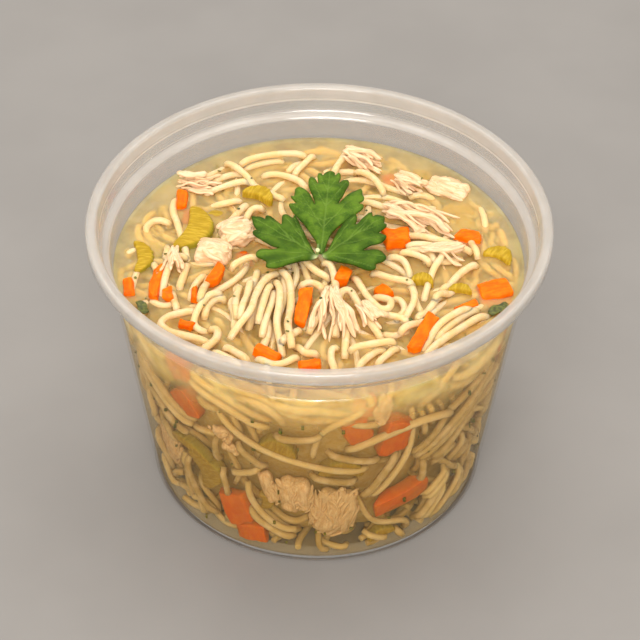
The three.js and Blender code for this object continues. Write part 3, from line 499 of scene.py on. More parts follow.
class Pile:
    """How high things reach so far, on a grid, so that the next one rests on them."""

    CELL = 0.5
    PRESS = 0.92  # how far up a strand rests, as things give a little where they cross

    def __init__(self, low, high, start, wrap=False):
        self.low = np.array(low, float)
        self.wrap = wrap
        self.shape = tuple(int(round((b - a) / self.CELL)) for a, b in zip(low, high))
        middles = [self.low[k] + self.CELL * (np.arange(self.shape[k]) + 0.5) for k in (0, 1)]
        u, v = np.meshgrid(*middles, indexing="ij")
        self.top = start(u, v)

    def cells(self, places):
        i = np.floor((places - self.low) / self.CELL).astype(int)
        last = self.shape[0] - 1
        first = i[..., 0] % (last + 1) if self.wrap else np.clip(i[..., 0], 0, last)
        return first, np.clip(i[..., 1], 0, self.shape[1] - 1)

    def disc(self, radius):
        n = int(math.ceil(radius / self.CELL))
        offsets = np.stack(np.meshgrid(range(-n, n + 1), range(-n, n + 1)), -1)
        offsets = self.CELL * offsets.reshape(-1, 2)
        away = np.hypot(*offsets.T)
        inside = away < radius
        return offsets[inside], np.sqrt(radius**2 - away[inside] ** 2)

    def bed(self, places, radius):
        """Lowest height of the middle of a strand of that radius at each place."""
        offsets, rise = self.disc(radius)
        return (self.top[self.cells(places[:, None] + offsets)] + self.PRESS * rise).max(1)

    def cover(self, places, middles, radius):
        offsets, rise = self.disc(radius)
        cells = self.cells(places[:, None] + offsets)
        np.maximum.at(self.top, cells, middles[:, None] + rise)


def rounded_block(size, radius, cuts):
    """A box with round edges about its own middle: vertices, the way out at each, faces."""
    spread = np.sin(np.linspace(-1, 1, cuts + 1) * math.pi / 2)
    index, places, faces = {}, [], []

    def corner(key):
        if key not in index:
            index[key] = len(places)
            places.append([spread[k] for k in key])
        return index[key]

    for axis in range(3):
        u, v = (axis + 1) % 3, (axis + 2) % 3
        for side in (0, cuts):
            for i in range(cuts):
                for j in range(cuts):
                    face = []
                    for a, b in ((i, j), (i + 1, j), (i + 1, j + 1), (i, j + 1)):
                        key = [0, 0, 0]
                        key[axis], key[u], key[v] = side, a, b
                        face.append(corner(tuple(key)))
                    faces.append(face if side else face[::-1])
    half = np.array(size, float) / 2
    radius = min(radius, half.min() * 0.98)
    box = np.array(places) * half
    inner = np.clip(box, radius - half, half - radius)
    away = box - inner
    away /= np.linalg.norm(away, axis=1)[:, None]
    return inner + away * radius, away, [np.array(faces)]


def turned_by(points, heading):
    turn = math.radians(heading)
    c, s = math.cos(turn), math.sin(turn)
    return points @ np.array([[c, s, 0], [-s, c, 0], [0, 0, 1]])


def wall_inside(z):
    """Inner radius of the tapered wall at a height."""
    share = (z - CORNER) / (SHOULDER_HEIGHT - CORNER)
    return BASE_RADIUS + (SHOULDER_RADIUS - BASE_RADIUS) * share - WALL


def own_frame(node):
    """Middle, size and heading of the upright box round a CAD node that covers least ground."""
    points = np.array([v.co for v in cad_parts[node].data.vertices]) / MM
    best = None
    for heading in range(-90, 90, 2):
        flat = turned_by(points, -heading)
        low, high = flat.min(0), flat.max(0)
        size = high - low
        if size[0] <= size[1] and (best is None or size[0] * size[1] < best[0]):
            tips = np.abs(flat[:, 1] - (low[1] + high[1]) / 2) > 0.4 * size[1]
            bulge = (low[0] + high[0]) / 2 - flat[tips, 0].mean()
            middle = turned_by((low + high) / 2, heading)
            best = (size[0] * size[1], middle, size, heading + (180 if bulge < 0 else 0))
    return best[1:]


# ---------------------------------------------------------------- tools for materials

# Broth colours by height: the broth's own golden murk, with painted shade that makes it darker
# brown lower down, where less light reaches.
BROTH_MURK_LIT_TOP = (0.94, 0.63, 0.19)
BROTH_MURK_SHADED_LOW = (0.41, 0.265, 0.075)


class Look:
    """A material under construction: each method adds a node and returns its output."""

    def __init__(self, name, gloss=0.5):
        self.gloss = gloss
        self.material = bpy.data.materials.new(name)
        self.material.use_nodes = True
        self.tree = self.material.node_tree
        self.tree.nodes.clear()
        place = self.node("TexCoord", output="Object")
        self.place = self.node("VectorMath", [place, (1 / MM,) * 3], operation="MULTIPLY")

    def node(self, kind, inputs=(), output=0, **settings):
        node = self.tree.nodes.new("ShaderNode" + kind)
        for key, value in settings.items():
            setattr(node, key, value)
        pairs = inputs.items() if isinstance(inputs, dict) else enumerate(inputs)
        for key, value in pairs:
            if isinstance(value, bpy.types.NodeSocket):
                self.tree.links.new(value, node.inputs[key])
            else:
                node.inputs[key].default_value = value
        return node.outputs[output]

    def axis(self, k):
        return self.node("SeparateXYZ", [self.place], output=k)

    def math(self, operation, a, b=0.0, c=0.0):
        return self.node("Math", [a, b, c], operation=operation)

    def plus(self, a, b):
        return self.math("ADD", a, b)

    def times(self, a, b):
        return self.math("MULTIPLY", a, b)

    def spread(self, value, low, high, to_low=0.0, to_high=1.0):
        """Value mapped smoothly from one range to another and held at its ends."""
        return self.node("MapRange", [value, low, high, to_low, to_high],
                         interpolation_type="SMOOTHSTEP")

    def mix(self, factor, a, b):
        colours = [c if isinstance(c, bpy.types.NodeSocket) else (*c, 1.0) for c in (a, b)]
        return self.node("Mix", {0: factor, 6: colours[0], 7: colours[1]}, output=2,
                         data_type="RGBA")

    def blend(self, value, low, high, a, b, most=1.0):
        """Colour a where the value is low, and b, or that share of it, where it is high."""
        return self.mix(self.spread(value, low, high, 0.0, most), a, b)

    def mix_value(self, factor, a, b):
        return self.node("Mix", {0: factor, 2: a, 3: b}, data_type="FLOAT")

    def noise(self, scale, detail=3.0, vector=None, distortion=0.0):
        return self.node("TexNoise", {"Vector": vector or self.place, "Scale": scale,
                                      "Detail": detail, "Distortion": distortion})

    def mark(self, name, output="Fac"):
        return self.node("Attribute", output=output, attribute_name=name)

    def stretched(self, vector, factors):
        return self.node("VectorMath", [vector, factors], operation="MULTIPLY")

    def grain(self, scale, detail, *factors):
        """Noise drawn out along the piece's own length."""
        return self.noise(scale, detail, self.stretched(self.mark("own", "Vector"), factors))

    def bump(self, height, strength, distance):
        return self.node("Bump", {"Strength": strength, "Distance": distance * MM,
                                  "Height": height})

    def sheen(self, least, most):
        """How much a clear surface mirrors: little straight on, a lot at a grazing angle."""
        facing = self.node("LayerWeight", {"Blend": 0.5}, output="Facing")
        return self.math("MULTIPLY_ADD", self.math("POWER", facing, 5.0), most, least)

    def broth_colour(self):
        # Golden near the top and darker brown lower down: painted shade by height.
        return self.blend(self.axis(2), 44.0, LEVEL - 2, BROTH_MURK_SHADED_LOW, BROTH_MURK_LIT_TOP)

    def sunk(self, colour, clear=4.5):
        """The colour as it shows through the broth: it fades with the depth behind the
        nearest face of the broth, which is golden at the top and darker brown further
        down, the broth's own murk with painted shade lower down."""
        z = self.axis(2)
        flat = self.node("CombineXYZ", [self.axis(0), self.axis(1), 0.0])
        radius = self.node("VectorMath", [flat], operation="LENGTH", output="Value")
        slope = wall_inside(1.0) - wall_inside(0.0)
        wall = self.plus(self.times(z, slope), wall_inside(0.0))
        from_wall = self.math("SUBTRACT", wall, radius)
        from_top = self.math("SUBTRACT", LEVEL, z)
        from_floor = self.math("SUBTRACT", z, FLOOR)
        depth = self.math("MINIMUM", self.math("MINIMUM", from_wall, from_top), from_floor)
        depth = self.math("MAXIMUM", depth, 0.0)
        clouds = self.spread(self.noise(0.12, 2.0), 0.3, 0.7, -0.75 / clear, -1.3 / clear)
        left = self.math("EXPONENT", self.times(depth, clouds))
        fade = self.times(self.math("SUBTRACT", 1.0, left), 0.94)
        return self.mix(fade, colour, self.broth_colour())

    def wet(self):
        """How strongly it mirrors: hardly at all where broth covers it."""
        if self.gloss < 0.1:
            return self.gloss
        return self.spread(self.axis(2), LEVEL - 0.6, LEVEL + 0.3, 0.02, self.gloss)

    def finish(self, base, roughness, normal=None, **inputs):
        """The material, with further inputs by their names with _ for each space."""
        values = {"Base Color": base, "Roughness": roughness, "IOR": 1.4,
                  "Specular IOR Level": self.wet()}
        values.update({key.replace("_", " "): value for key, value in inputs.items()})
        if normal is not None:
            values["Normal"] = normal
        return self.output(self.node("BsdfPrincipled", values))

    def hazy(self, haze, clear, milk, mirror, gloss):
        """A clear body with a milky share in it, under a skin that mirrors."""
        clear = self.node("BsdfTransparent", {"Color": (*clear, 1)})
        milk = self.node("BsdfPrincipled", {"Subsurface Weight": 1.0, **milk})
        body = self.node("MixShader", [haze, clear, milk])
        skin = self.node("BsdfAnisotropic", {"Color": (1, 1, 1, 1), **gloss})
        return self.output(self.node("MixShader", [mirror, body, skin]))

    def output(self, shader):
        end = self.tree.nodes.new("ShaderNodeOutputMaterial")
        self.tree.links.new(shader, end.inputs["Surface"])
        return self.material


def soft(weight, red, green, blue, scale):
    """Light that goes a little way into the food."""
    return {"Subsurface_Weight": weight, "Subsurface_Radius": (red, green, blue),
            "Subsurface_Scale": scale * MM}


def noodle_look(name, gloss, pale=(0.79, 0.575, 0.29), dull=(0.71, 0.49, 0.22)):
    look = Look(name, gloss)
    patch = look.noise(0.3)
    base = look.mix(look.mark("tone"), pale, dull)
    base = look.blend(patch, 0.4, 0.65, base, (0.77, 0.60, 0.40), 0.5)
    rough = look.spread(patch, 0.3, 0.7, 0.2, 0.34)
    normal = look.bump(look.noise(0.5), 0.2, 0.12)
    return look.finish(look.sunk(base, 3.6), rough, normal, **soft(0.8, 1.0, 0.85, 0.6, 2.4))


def deep_look():
    """The crowd of noodles further in, which only shows as blurred streaks."""
    look = Look("deep_noodles")
    streaks = look.noise(0.35, 3.0, look.stretched(look.place, (1, 1, 1.6)), 1.6)
    base = look.blend(streaks, 0.38, 0.66, (0.84, 0.55, 0.17), (1.0, 0.76, 0.37))
    # Painted shade: the streaks turn darker brown towards the bottom, where less light reaches.
    base = look.mix(look.spread(look.axis(2), 20.0, 60.0, 0.5, 0.0), base, (0.24, 0.17, 0.05))
    return look.finish(look.sunk(base, 9.0), 0.6, look.bump(streaks, 0.3, 1.0),
                       **soft(0.8, 1.0, 0.8, 0.5, 3.0))


def darkened_for_shade(dim, *colours):
    """Colours darkened alike: painted shade for the copies of a look that lie in the broth, where
    less light reaches.
    """
    return [tuple(part * dim for part in colour) for colour in colours]


def carrot_look(name, gloss, dim=1.0, clear=5.0):
    look = Look(name, gloss)
    grain = look.grain(0.9, 4.0, 1, 0.35, 1)
    dark, light, deep = darkened_for_shade(dim, (0.86, 0.125, 0.001), (0.96, 0.21, 0.003),
                               (0.82, 0.095, 0.001))
    base = look.blend(grain, 0.3, 0.75, dark, light)
    base = look.blend(look.noise(0.35, 2.0), 0.5, 0.75, base, deep, 0.5)
    normal = look.bump(look.grain(3.0, 4.0, 1, 0.4, 1), 0.4, 0.18)
    rough = look.spread(grain, 0.3, 0.7, 0.3, 0.45)
    return look.finish(look.sunk(base, clear), rough, normal, **soft(0.5, 1.0, 0.35, 0.1, 1.8))


def celery_look(name, gloss, dim=1.0):
    look = Look(name, gloss)
    strings = look.grain(1.1, 2.0, 0.35, 1.6, 0.35)
    dark, light = darkened_for_shade(dim, (0.39, 0.24, 0.012), (0.54, 0.355, 0.03))
    base = look.blend(strings, 0.35, 0.7, dark, light)
    base = look.blend(look.mark("skin"), 0.2, 1.0, base, (0.24, 0.23, 0.02), 0.75)
    normal = look.bump(strings, 0.5, 0.25)
    rough = look.spread(strings, 0.3, 0.7, 0.2, 0.3)
    return look.finish(look.sunk(base, 4.0), rough, normal, **soft(0.4, 0.8, 0.7, 0.15, 2.0))


def chicken_look(name, gloss, dim=1.0, clear=3.2):
    look = Look(name, gloss)
    fibres = look.grain(1.7, 4.0, 1.0, 0.14, 1.0)
    dark, light, pink = darkened_for_shade(dim, (0.74, 0.46, 0.23), (0.93, 0.68, 0.43), (0.74, 0.47, 0.29))
    base = look.blend(fibres, 0.35, 0.68, dark, light)
    base = look.blend(look.noise(0.4), 0.52, 0.72, base, pink, 0.55)
    normal = look.bump(fibres, 0.5, 0.25)
    rough = look.spread(fibres, 0.3, 0.7, 0.5, 0.34)
    return look.finish(look.sunk(base, clear), rough, normal, **soft(0.1, 1.0, 0.6, 0.4, 0.8))


def leaf_look():
    look = Look("parsley", 0.16)
    vein = look.spread(look.mark("vein"), 0.25, 1.0)
    patch = look.noise(0.25)
    fine = look.noise(1.8, 4.0)
    base = look.blend(patch, 0.35, 0.65, (0.036, 0.088, 0.004), (0.10, 0.185, 0.012))
    base = look.blend(fine, 0.4, 0.75, base, (0.14, 0.24, 0.02), 0.4)
    # Painted shade: darker green where the shade mark is high, at the edges of the leaflets and on
    # the side leaflets.
    base = look.blend(look.mark("shade"), 0.0, 1.0, base, (0.022, 0.058, 0.001), 0.75)
    base = look.mix(look.times(vein, 0.45), base, (0.17, 0.27, 0.045))
    base = look.blend(look.mark("stem"), 0.0, 1.0, base, (0.62, 0.68, 0.34))
    normal = look.bump(look.math("SUBTRACT", fine, vein), 0.4, 0.18)
    rough = look.spread(fine, 0.3, 0.7, 0.5, 0.65)
    return look.finish(base, rough, normal, **soft(0.12, 0.3, 0.8, 0.1, 0.8))


def herb_look():
    look = Look("herb")
    spots = look.noise(1.2)
    base = look.blend(spots, 0.35, 0.7, (0.05, 0.055, 0.008), (0.15, 0.16, 0.02))
    return look.finish(look.sunk(base, 8.0), 0.4, look.bump(spots, 0.5, 0.2))


def plastic_look():
    """Clear moulded plastic, milky where it is thick: at the rim, the ledge and the foot,
    with painted bright lines along the lower edges of the foot and the skirt, and a
    painted contact shadow under the foot.
    """
    look = Look("clear_plastic")
    z = look.axis(2)
    cloud = look.noise(0.09)
    above = look.spread(z, LEVEL - 0.5, LEVEL + 1.5, 0.0, 0.11)
    bead = look.spread(z, HEIGHT - 3.9, HEIGHT - 2.6, 0.0, 0.25)
    ledge = look.times(look.spread(z, SHOULDER_HEIGHT - 0.4, SHOULDER_HEIGHT + 0.5),
                       look.spread(z, SHOULDER_HEIGHT + 2.2, SHOULDER_HEIGHT + 1.2, 0.0, 0.3))
    # The foot is milky where it is thick, and milkier still at its bottom edge: a painted bright
    # line.
    foot = look.spread(z, 2.4, 0.6, 0.014, 0.34)
    edge = HEIGHT - SKIRT
    # Painted highlight: a bright milky line along the lower edge of the skirt.
    painted_lip_highlight = look.times(look.spread(z, edge + 0.5, edge + 0.1, 0.0, 0.5),
                     look.spread(z, edge - 0.4, edge - 0.1))
    haze = look.plus(look.plus(look.plus(above, bead), look.plus(foot, ledge)), painted_lip_highlight)
    haze = look.times(haze, look.spread(cloud, 0.3, 0.7, 0.94, 1.06))
    milk_tint_and_shadow = look.blend(cloud, 0.3, 0.7, (0.64, 0.59, 0.53), (0.67, 0.62, 0.56))
    # Painted contact shadow: the plastic turns dark brown in its lowest half millimetre, where it
    # meets the floor.
    milk_tint_and_shadow = look.blend(z, 0.55, 0.3, milk_tint_and_shadow, (0.16, 0.11, 0.07))
    milk = {"Base Color": milk_tint_and_shadow, "Roughness": 0.3, "IOR": 1.49,
            "Subsurface Radius": (1.0, 0.9, 0.78), "Subsurface Scale": 2.0 * MM}
    mirror = look.times(look.sheen(0.045, 0.8), look.spread(z, LEVEL, SHOULDER_HEIGHT, 0.3, 1.0))
    return look.hazy(haze, (0.985, 0.98, 0.97), milk, mirror, {"Roughness": 0.09})


def broth_look():
    """Clear broth with a golden veil; the top is glossy, the sides lie against the tub."""
    look = Look("broth")
    z = look.axis(2)
    normal = look.node("NewGeometry", output="Normal")
    up = look.spread(look.node("SeparateXYZ", [normal], output=2), 0.3, 0.8)
    # Painted light: the veil is thicker and paler near the top, where light from above enters the
    # broth.
    top_light_band = look.spread(z, 50.0, LEVEL - 2.0, 0.13, 0.40)
    veil = look.times(look.mix_value(up, top_light_band, 0.25),
                      look.spread(look.noise(0.11), 0.3, 0.7, 0.65, 1.35))
    colour = look.blend(z, 50.0, LEVEL - 2.0, look.broth_colour(), (1.0, 0.70, 0.27))
    milk = {"Base Color": colour, "Roughness": 0.4, "IOR": 1.34, "Specular IOR Level": 0.0,
            "Subsurface Radius": (1.0, 0.85, 0.6), "Subsurface Scale": 4.0 * MM}
    ripple = look.bump(look.noise(0.12, 1.0), 0.06, 0.5)
    top = look.spread(z, LEVEL - 1.0, LEVEL - 0.3)
    mirror = look.times(look.sheen(0.03, 0.9), top)
    return look.hazy(veil, (1.0, 0.925, 0.77), milk, mirror,
                     {"Roughness": 0.12, "Normal": ripple})


def floor_look():
    look = Look("floor")
    base = look.blend(look.noise(0.02), 0.3, 0.7, (0.268, 0.253, 0.239), (0.286, 0.270, 0.255))
    return look.finish(base, 0.55)


# ---------------------------------------------------------------- tub


def risen(height, points):
    """Points of (radius, rise) over a height, as (radius, height)."""
    return [(r, height + z) for r, z in points]


def tub_profile():
    """The outside from the middle of the base up, over the rim, and the inside back down."""
    neck = SHOULDER_RADIUS + 1.9
    bead = 0.95
    inner = SHOULDER_RADIUS - WALL
    skirt = RIM_RADIUS - WALL
    outside = [
        (0, 0.35), (BASE_RADIUS - 7, 0.35), (BASE_RADIUS - 6, 0),
        *arc((BASE_RADIUS - CORNER, CORNER), CORNER, -90, 0, 6),
        *risen(SHOULDER_HEIGHT, [(SHOULDER_RADIUS - 0.02, -0.3), (SHOULDER_RADIUS + 0.12, 0),
                                 (neck - 0.4, 0.75), (neck, 1.1)]),
        *risen(HEIGHT, [(MOUTH + WALL - 0.2, -2.1), (MOUTH + WALL + 0.1, -1.8),
                        (skirt - 0.15, -1.6), (skirt, -1.8)]),
        *risen(HEIGHT - SKIRT, [(skirt, 0.2), (RIM_RADIUS - WALL / 2, 0),
                                (RIM_RADIUS - 0.05, 0.25)]),
    ]
    rim = [*arc((RIM_RADIUS - bead, HEIGHT - bead), bead, 0, 90, 5),
           *arc((MOUTH + bead, HEIGHT - bead), bead, 90, 180, 5)]
    inside = [
        *risen(SHOULDER_HEIGHT, [(neck - WALL + 0.15, 2.1), (neck - WALL - 0.1, 1.6),
                                 (neck - WALL - 0.6, 1.25), (inner + 0.7, 0.9),
                                 (inner + 0.15, 0.6),
                                 (wall_inside(SHOULDER_HEIGHT - 0.6), -0.6)]),
        (wall_inside(67.0), 67.0), (wall_inside(66.0), 66.0),
        *arc((BASE_RADIUS - WALL - CORNER, FLOOR + CORNER), CORNER, 0, -90, 6),
        (0, FLOOR),
    ]
    return [*outside, *rim, *inside]


def ribbed(r, a, z):
    """Fine upright ribs inside the wall between the broth and the ledge."""
    at_wall = (z > LEVEL + 1.5) & (z < SHOULDER_HEIGHT) & (r < SHOULDER_RADIUS - 0.4)
    return r - np.where(at_wall, 0.05 * np.maximum(0, np.cos(a * 48)) ** 6, 0)


def make_tub(material):
    make_piece("tub_clear", [turned(tub_profile(), 192, ribbed)], material, "clear_plastic", "tub")


# ---------------------------------------------------------------- broth


def make_broth(material):
    """The broth's body, which reaches into the wall, with a meniscus where they meet."""
    into = 0.12
    top = wall_inside(LEVEL)
    flat = LEVEL - BROTH_DROP
    profile = [
        (0, FLOOR - into),
        *arc((BASE_RADIUS - WALL - CORNER, FLOOR + CORNER), CORNER + into, -90, 0, 6),
        (wall_inside(20) + into, 20), (wall_inside(40) + into, 40), (wall_inside(55) + into, 55),
        *risen(LEVEL, [(top + into, 0), (top - 0.1, -0.02), (top - 0.45, -0.2),
                       (top - 0.95, -0.3)]),
        (top - 1.9, flat), (top - 4, flat),
        *[(r, flat) for r in np.linspace(top - 7, 4, 12)],
        (0, flat),
    ]
    make_piece("broth_clear", [turned(profile, 128)], material, "broth", "broth")


# ---------------------------------------------------------------- heap of noodles

CORE_BACK = 6.6  # how far the crowded noodles in the middle stay behind the wall
CORE_FOOT = 6.0
CORE_DROP = (4.6, 3.2)  # how far they lie under the heap's top, and how much more at its edge
STRAND_DIVE = 1.5  # how far the ends of a strand sink
KEEP_OFF = 0.3  # how far a strand stays under the top of a topping
BRIDGING = 60  # how stiffly a strand bends over what lies below it


def heap_top(x, y):
    """Height of the heap without its loose strands. It drops by the wall, but for the front."""
    away = np.hypot(x - HEAP_MIDDLE[0], y - HEAP_MIDDLE[1]) / HEAP_SPREAD
    clear = np.clip((np.hypot(x, y) - 37) / 11, 0, 1) * np.clip((y + 16) / 18, 0, 1)
    return LEVEL + HEAP_EDGE + HEAP_RISE * np.exp(-away * away) - CLEAR_DROP * clear


def core_top(x, y):
    """Top of the crowded noodles that only show as a blur below the loose ones."""
    drop = CORE_DROP[0] + CORE_DROP[1] * np.clip((np.hypot(x, y) - 30) / 16, 0, 1)
    ripple = waves(np.stack([x.ravel(), y.ravel()], 1), 9.0, 3, 2).reshape(x.shape)
    return heap_top(x, y) - drop + 0.6 * ripple


def make_core(material):
    """The crowd of noodles: rings from the middle of its top over the edge and down."""
    sides = 144
    angles = np.arange(sides) * 2 * math.pi / sides
    cos, sin = np.cos(angles), np.sin(angles)

    def ring(r, z):
        return np.stack([r * cos, r * sin, np.broadcast_to(z, sides)], 1)

    top = np.linspace(0.06, 1, 22) * (wall_inside(57.0) - CORE_BACK)
    rows = [ring(r, core_top(r * cos, r * sin)) for r in top]
    for z in np.linspace(55.5, CORE_FOOT + 1, 20):
        rows.append(ring(wall_inside(z) - CORE_BACK + 0.9 * waves(ring(30, z), 9.0, 5, 2), z))
    foot = np.array([0.8, 0.5, 0.2]) * (wall_inside(CORE_FOOT) - CORE_BACK)
    rows += [ring(r, CORE_FOOT) for r in foot]
    middle = float(core_top(np.zeros(1), np.zeros(1))[0])
    part = closed_round(np.vstack(rows), sides, middle, CORE_FOOT, False)
    make_piece("noodles_core", [part], material, "noodle", "noodles")


def on_footprint(points, middle, size, heading, margin):
    flat = turned_by(np.column_stack([points - middle[:2], np.zeros(len(points))]), -heading)
    return (np.abs(flat[:, :2]) < np.array(size[:2]) / 2 + margin).all(1)


def leaf_height(reach, angle):
    """Height of the leaf at a distance and angle from where it is held: arched and wavy."""
    rise = LEAF["arch"] * np.sin(math.pi * np.minimum(1, reach / 30) * 0.62)
    wave = 0.3 * np.sin(np.radians(angle * 9)) * np.minimum(1, reach / 8)
    return LEVEL + LEAF["lift"] + rise + wave


def leaf_polar(places):
    """Distances and angles of places from where the parsley is held."""
    away = places - np.array(LEAF["stem"])
    return np.hypot(*away.T), np.degrees(np.arctan2(away[:, 1], away[:, 0]))


def leaf_underside(places):
    """Height of the parsley's underside, and no limit where there is none."""
    reach, angle = leaf_polar(places)
    under = ((angle > -38) | (angle < -142)) & (reach < LEAF["reach"])
    return np.where(under, leaf_height(reach, angle) - LEAF["gap"], LEVEL + 20)


def strand_part(places, heights, tone, sides):
    """A noodle along places on the ground, with a height at each. Those with few sides lie
    deep, and every other point is enough for them."""
    keep = thinned(len(places), 1 if sides > 10 else 2)
    line = np.column_stack([places, heights])[keep]
    radius = NOODLE * (0.84 + 0.1 * tone) * (1 + 0.07 * waves(line, 6.0, len(line), 1))
    points, faces = tube(line, UP, radius, sides, 0.92)
    return points, faces, {"tone": np.full(len(points), tone)}


def room_under(places, footprints):
    """How high a strand's middle may lie without hiding the toppings or the leaf."""
    limit = leaf_underside(places) - NOODLE
    for middle, size, heading in footprints:
        top = middle[2] + size[2] / 2 - NOODLE - KEEP_OFF
        on = on_footprint(places, middle, size, heading, 0.5)
        limit = np.where(on, np.minimum(limit, top), limit)
    return limit


def lay_noodle(pile, places, random, footprints, sides, least=-np.inf, most=np.inf):
    """The stretches of one strand inside the tub, each laid on the pile, its ends sunk.

    Least is how far over the heap's top it has to lie, and most how far it may: a stretch
    with over a quarter of its length above that is left out.
    """
    parts = []
    for run in runs_of(np.hypot(*places.T) < KEEP_IN - NOODLE, 9):
        spot = places[run]
        top = heap_top(*spot.T)
        line = bridged(np.maximum(pile.bed(spot, NOODLE), top + least), BRIDGING)
        if (line > top + most).mean() > 0.25:
            continue
        line = hung(smoothed(line, 24), room_under(spot, footprints))
        line = line - STRAND_DIVE * np.linspace(-1, 1, len(line)) ** 8
        pile.cover(spot, line, NOODLE)
        parts.append(strand_part(spot, line, random.random(), sides))
    return parts


def through(row):
    """A smooth line through a row of x and y, as points an even step apart."""
    points = np.reshape(row, (-1, 2)).astype(float)
    ends = 2 * points[[0, -1]] - points[[1, -2]]
    known = np.vstack([ends[:1], points, ends[1:]])
    t = (np.arange(24) / 24)[None, :, None]
    a, b, c, d = (known[k:len(known) - 3 + k][:, None] for k in range(4))
    curve = 0.5 * (2 * b + (c - a) * t + (2 * a - 5 * b + 4 * c - d) * t**2
                   + (3 * b - a - 3 * c + d) * t**3)
    curve = np.vstack([curve.reshape(-1, 2), points[-1:]])
    along = np.append(0, np.cumsum(np.hypot(*np.diff(curve, axis=0).T)))
    steps = np.linspace(0, along[-1], max(8, int(along[-1] / STEP)))
    return np.stack([np.interp(steps, along, curve[:, k]) for k in (0, 1)], 1)


def make_heap(noodle, pile, footprints):
    """Loose strands in every direction, then long ones that lie roughly along their
    neighbours, and on top of them the strands that the photo shows."""
    random = np.random.default_rng(SEED["heap"])
    parts = []
    for _ in range(COUNT["under_strands"]):
        places = loose_path(random, KEEP_IN - 2, 25)
        parts += lay_noodle(pile, places, random, footprints, 7, most=-1.5)
    for _ in range(COUNT["top_strands"]):
        start = in_disc(random, KEEP_IN - 6)
        heading = 300 * float(waves(start[None], 70.0, 17, 1)[0]) + random.normal(0, 16)
        places = path(start, heading, random.uniform(22, 48), random.normal(0, 55), 18, random)
        parts += lay_noodle(pile, places, random, footprints, 8, most=-0.5)
    for layer, rows in STRANDS.items():
        for row in rows:
            parts += lay_noodle(pile, through(row), random, footprints, 12, LAYER_STEP * layer)
    make_piece("noodles_heap", parts, noodle, "noodle", "noodles")


# ---------------------------------------------------------------- chicken


def shreds_part(row, pile, top, random):
    """Fibrous strips side by side below a height, thin at their ends."""
    x, y, heading, length, turn, count, width, fan = row
    side, ahead = math.radians(heading + 90), math.radians(heading)
    parts = []
    for i in range(count):
        share = random.uniform(-0.5, 0.5)
        back = random.uniform(-1, 2)
        shift = share * (width - 1)
        start = (x + shift * math.cos(side) + back * math.cos(ahead),
                 y + shift * math.sin(side) + back * math.sin(ahead))
        own = length * random.uniform(0.55, 1.0) - max(0, back)
        places = path(start, heading + fan * share + random.uniform(-8, 8), own,
                      turn + random.normal(0, 9), 12, random, 0.35)
        half = random.uniform(0.3, 0.6) * random.choice([1, 1, 1.6])
        flat = random.uniform(0.5, 0.8)
        bed = np.maximum(pile.bed(places, half * 0.7), heap_top(*places.T) + 0.35)
        line = bridged(bed, 30) + 0.15 * waves(places, 5.0, int(random.integers(1e6)), 1)
        line = hung(line, np.minimum(top, leaf_underside(places)) - half * flat - 0.3, 8)
        pile.cover(places, line, half * 0.7)
        size = half * tapered(len(places), 7, 0.4)
        size = size * (1 + 0.22 * waves(places, 3.0, int(random.integers(1e6)), 2))
        strip = fibre_strip(places, line, size, 8, flat, 0.6, random.uniform(-0.7, 0.7), own, i)
        parts.append((*strip[:2], {"own": strip[2]}))
    return parts


def fibre_strip(places, heights, radius, sides, flat, tip, twist, length, i):
    """A strip of meat, and its own coordinates along its length, as the fibres run."""
    line = np.column_stack([places, heights])
    points, faces = tube(line, UP, radius, sides, flat, tip, twist)
    own = np.stack([np.tile(np.arange(sides) * 0.7, len(line)) + 9.0 * i,
                    np.repeat(np.linspace(0, length, len(line)), sides),
                    np.full(len(points), 3.0 * i)], 1)
    return points, faces, own


def placed(points, middle, heading):
    return turned_by(points, heading) + middle


def held(places, limit):
    """Places kept within a limit to either side, with no two of them made the same."""
    return places / (1 + np.abs(places / limit) ** 6) ** (1 / 6)


def meat_part(middle, size, heading, seed, core, bumps, cuts, count, strip):
    """Torn meat: a lumpy core, which is a share of the size, and strips of fibre over it."""
    random = np.random.default_rng(seed)
    points, away, faces = rounded_block(size * core, 0.4 * min(size), cuts)
    points = points + away * (bumps * waves(points, 4.5, seed, 2))[:, None]
    pieces = [(points, faces, points.copy())]
    pieces += [strip(random, size, i) for i in range(count)]
    faces, start = [], 0
    for points, groups, _ in pieces:
        faces += [group + start for group in groups]
        start += len(points)
    points, own = (np.vstack([piece[k] for piece in pieces]) for k in (0, 2))
    return placed(points, middle, heading), faces, {"own": own + seed * 3.0}


def fibre_path(random, size, spot, share, bend, sway, step, inset=0.0):
    """The way of a fibre over a piece, its length, and how far out each point lies."""
    length = size[1] * random.uniform(*share)
    places = path(spot - [0, length / 2], 90 + random.normal(0, 16), length,
                  random.normal(0, bend), sway, random, step)
    places = held(places, size[:2] / 2 - inset)
    return places, length, (np.abs(places / (size[:2] / 2)) ** 2).sum(1)


def chunk_strip(random, size, i):
    spot = random.uniform(-0.5, 0.5, 2) * size[:2] * [0.84, 0.3]
    places, length, out = fibre_path(random, size, spot, (0.45, 0.95), 22, 10, 0.6, 0.5)
    half = random.uniform(0.4, 1.5)
    line = (size[2] / 2 - 0.5 * half) * np.clip(1 - 0.35 * out, 0.1, 1) - random.uniform(0, 0.5)
    return fibre_strip(places, line, half * tapered(len(places), 4, 0.25), 7, 0.6, 0.5,
                       random.uniform(-0.6, 0.6), length, i)


def chunk_part(middle, size, heading, seed):
    """A torn lump of meat, with strands of fibre pulled loose."""
    return meat_part(middle, np.array(size, float), heading, seed, [0.84, 0.86, 0.8], 0.6, 20,
                     16, chunk_strip)


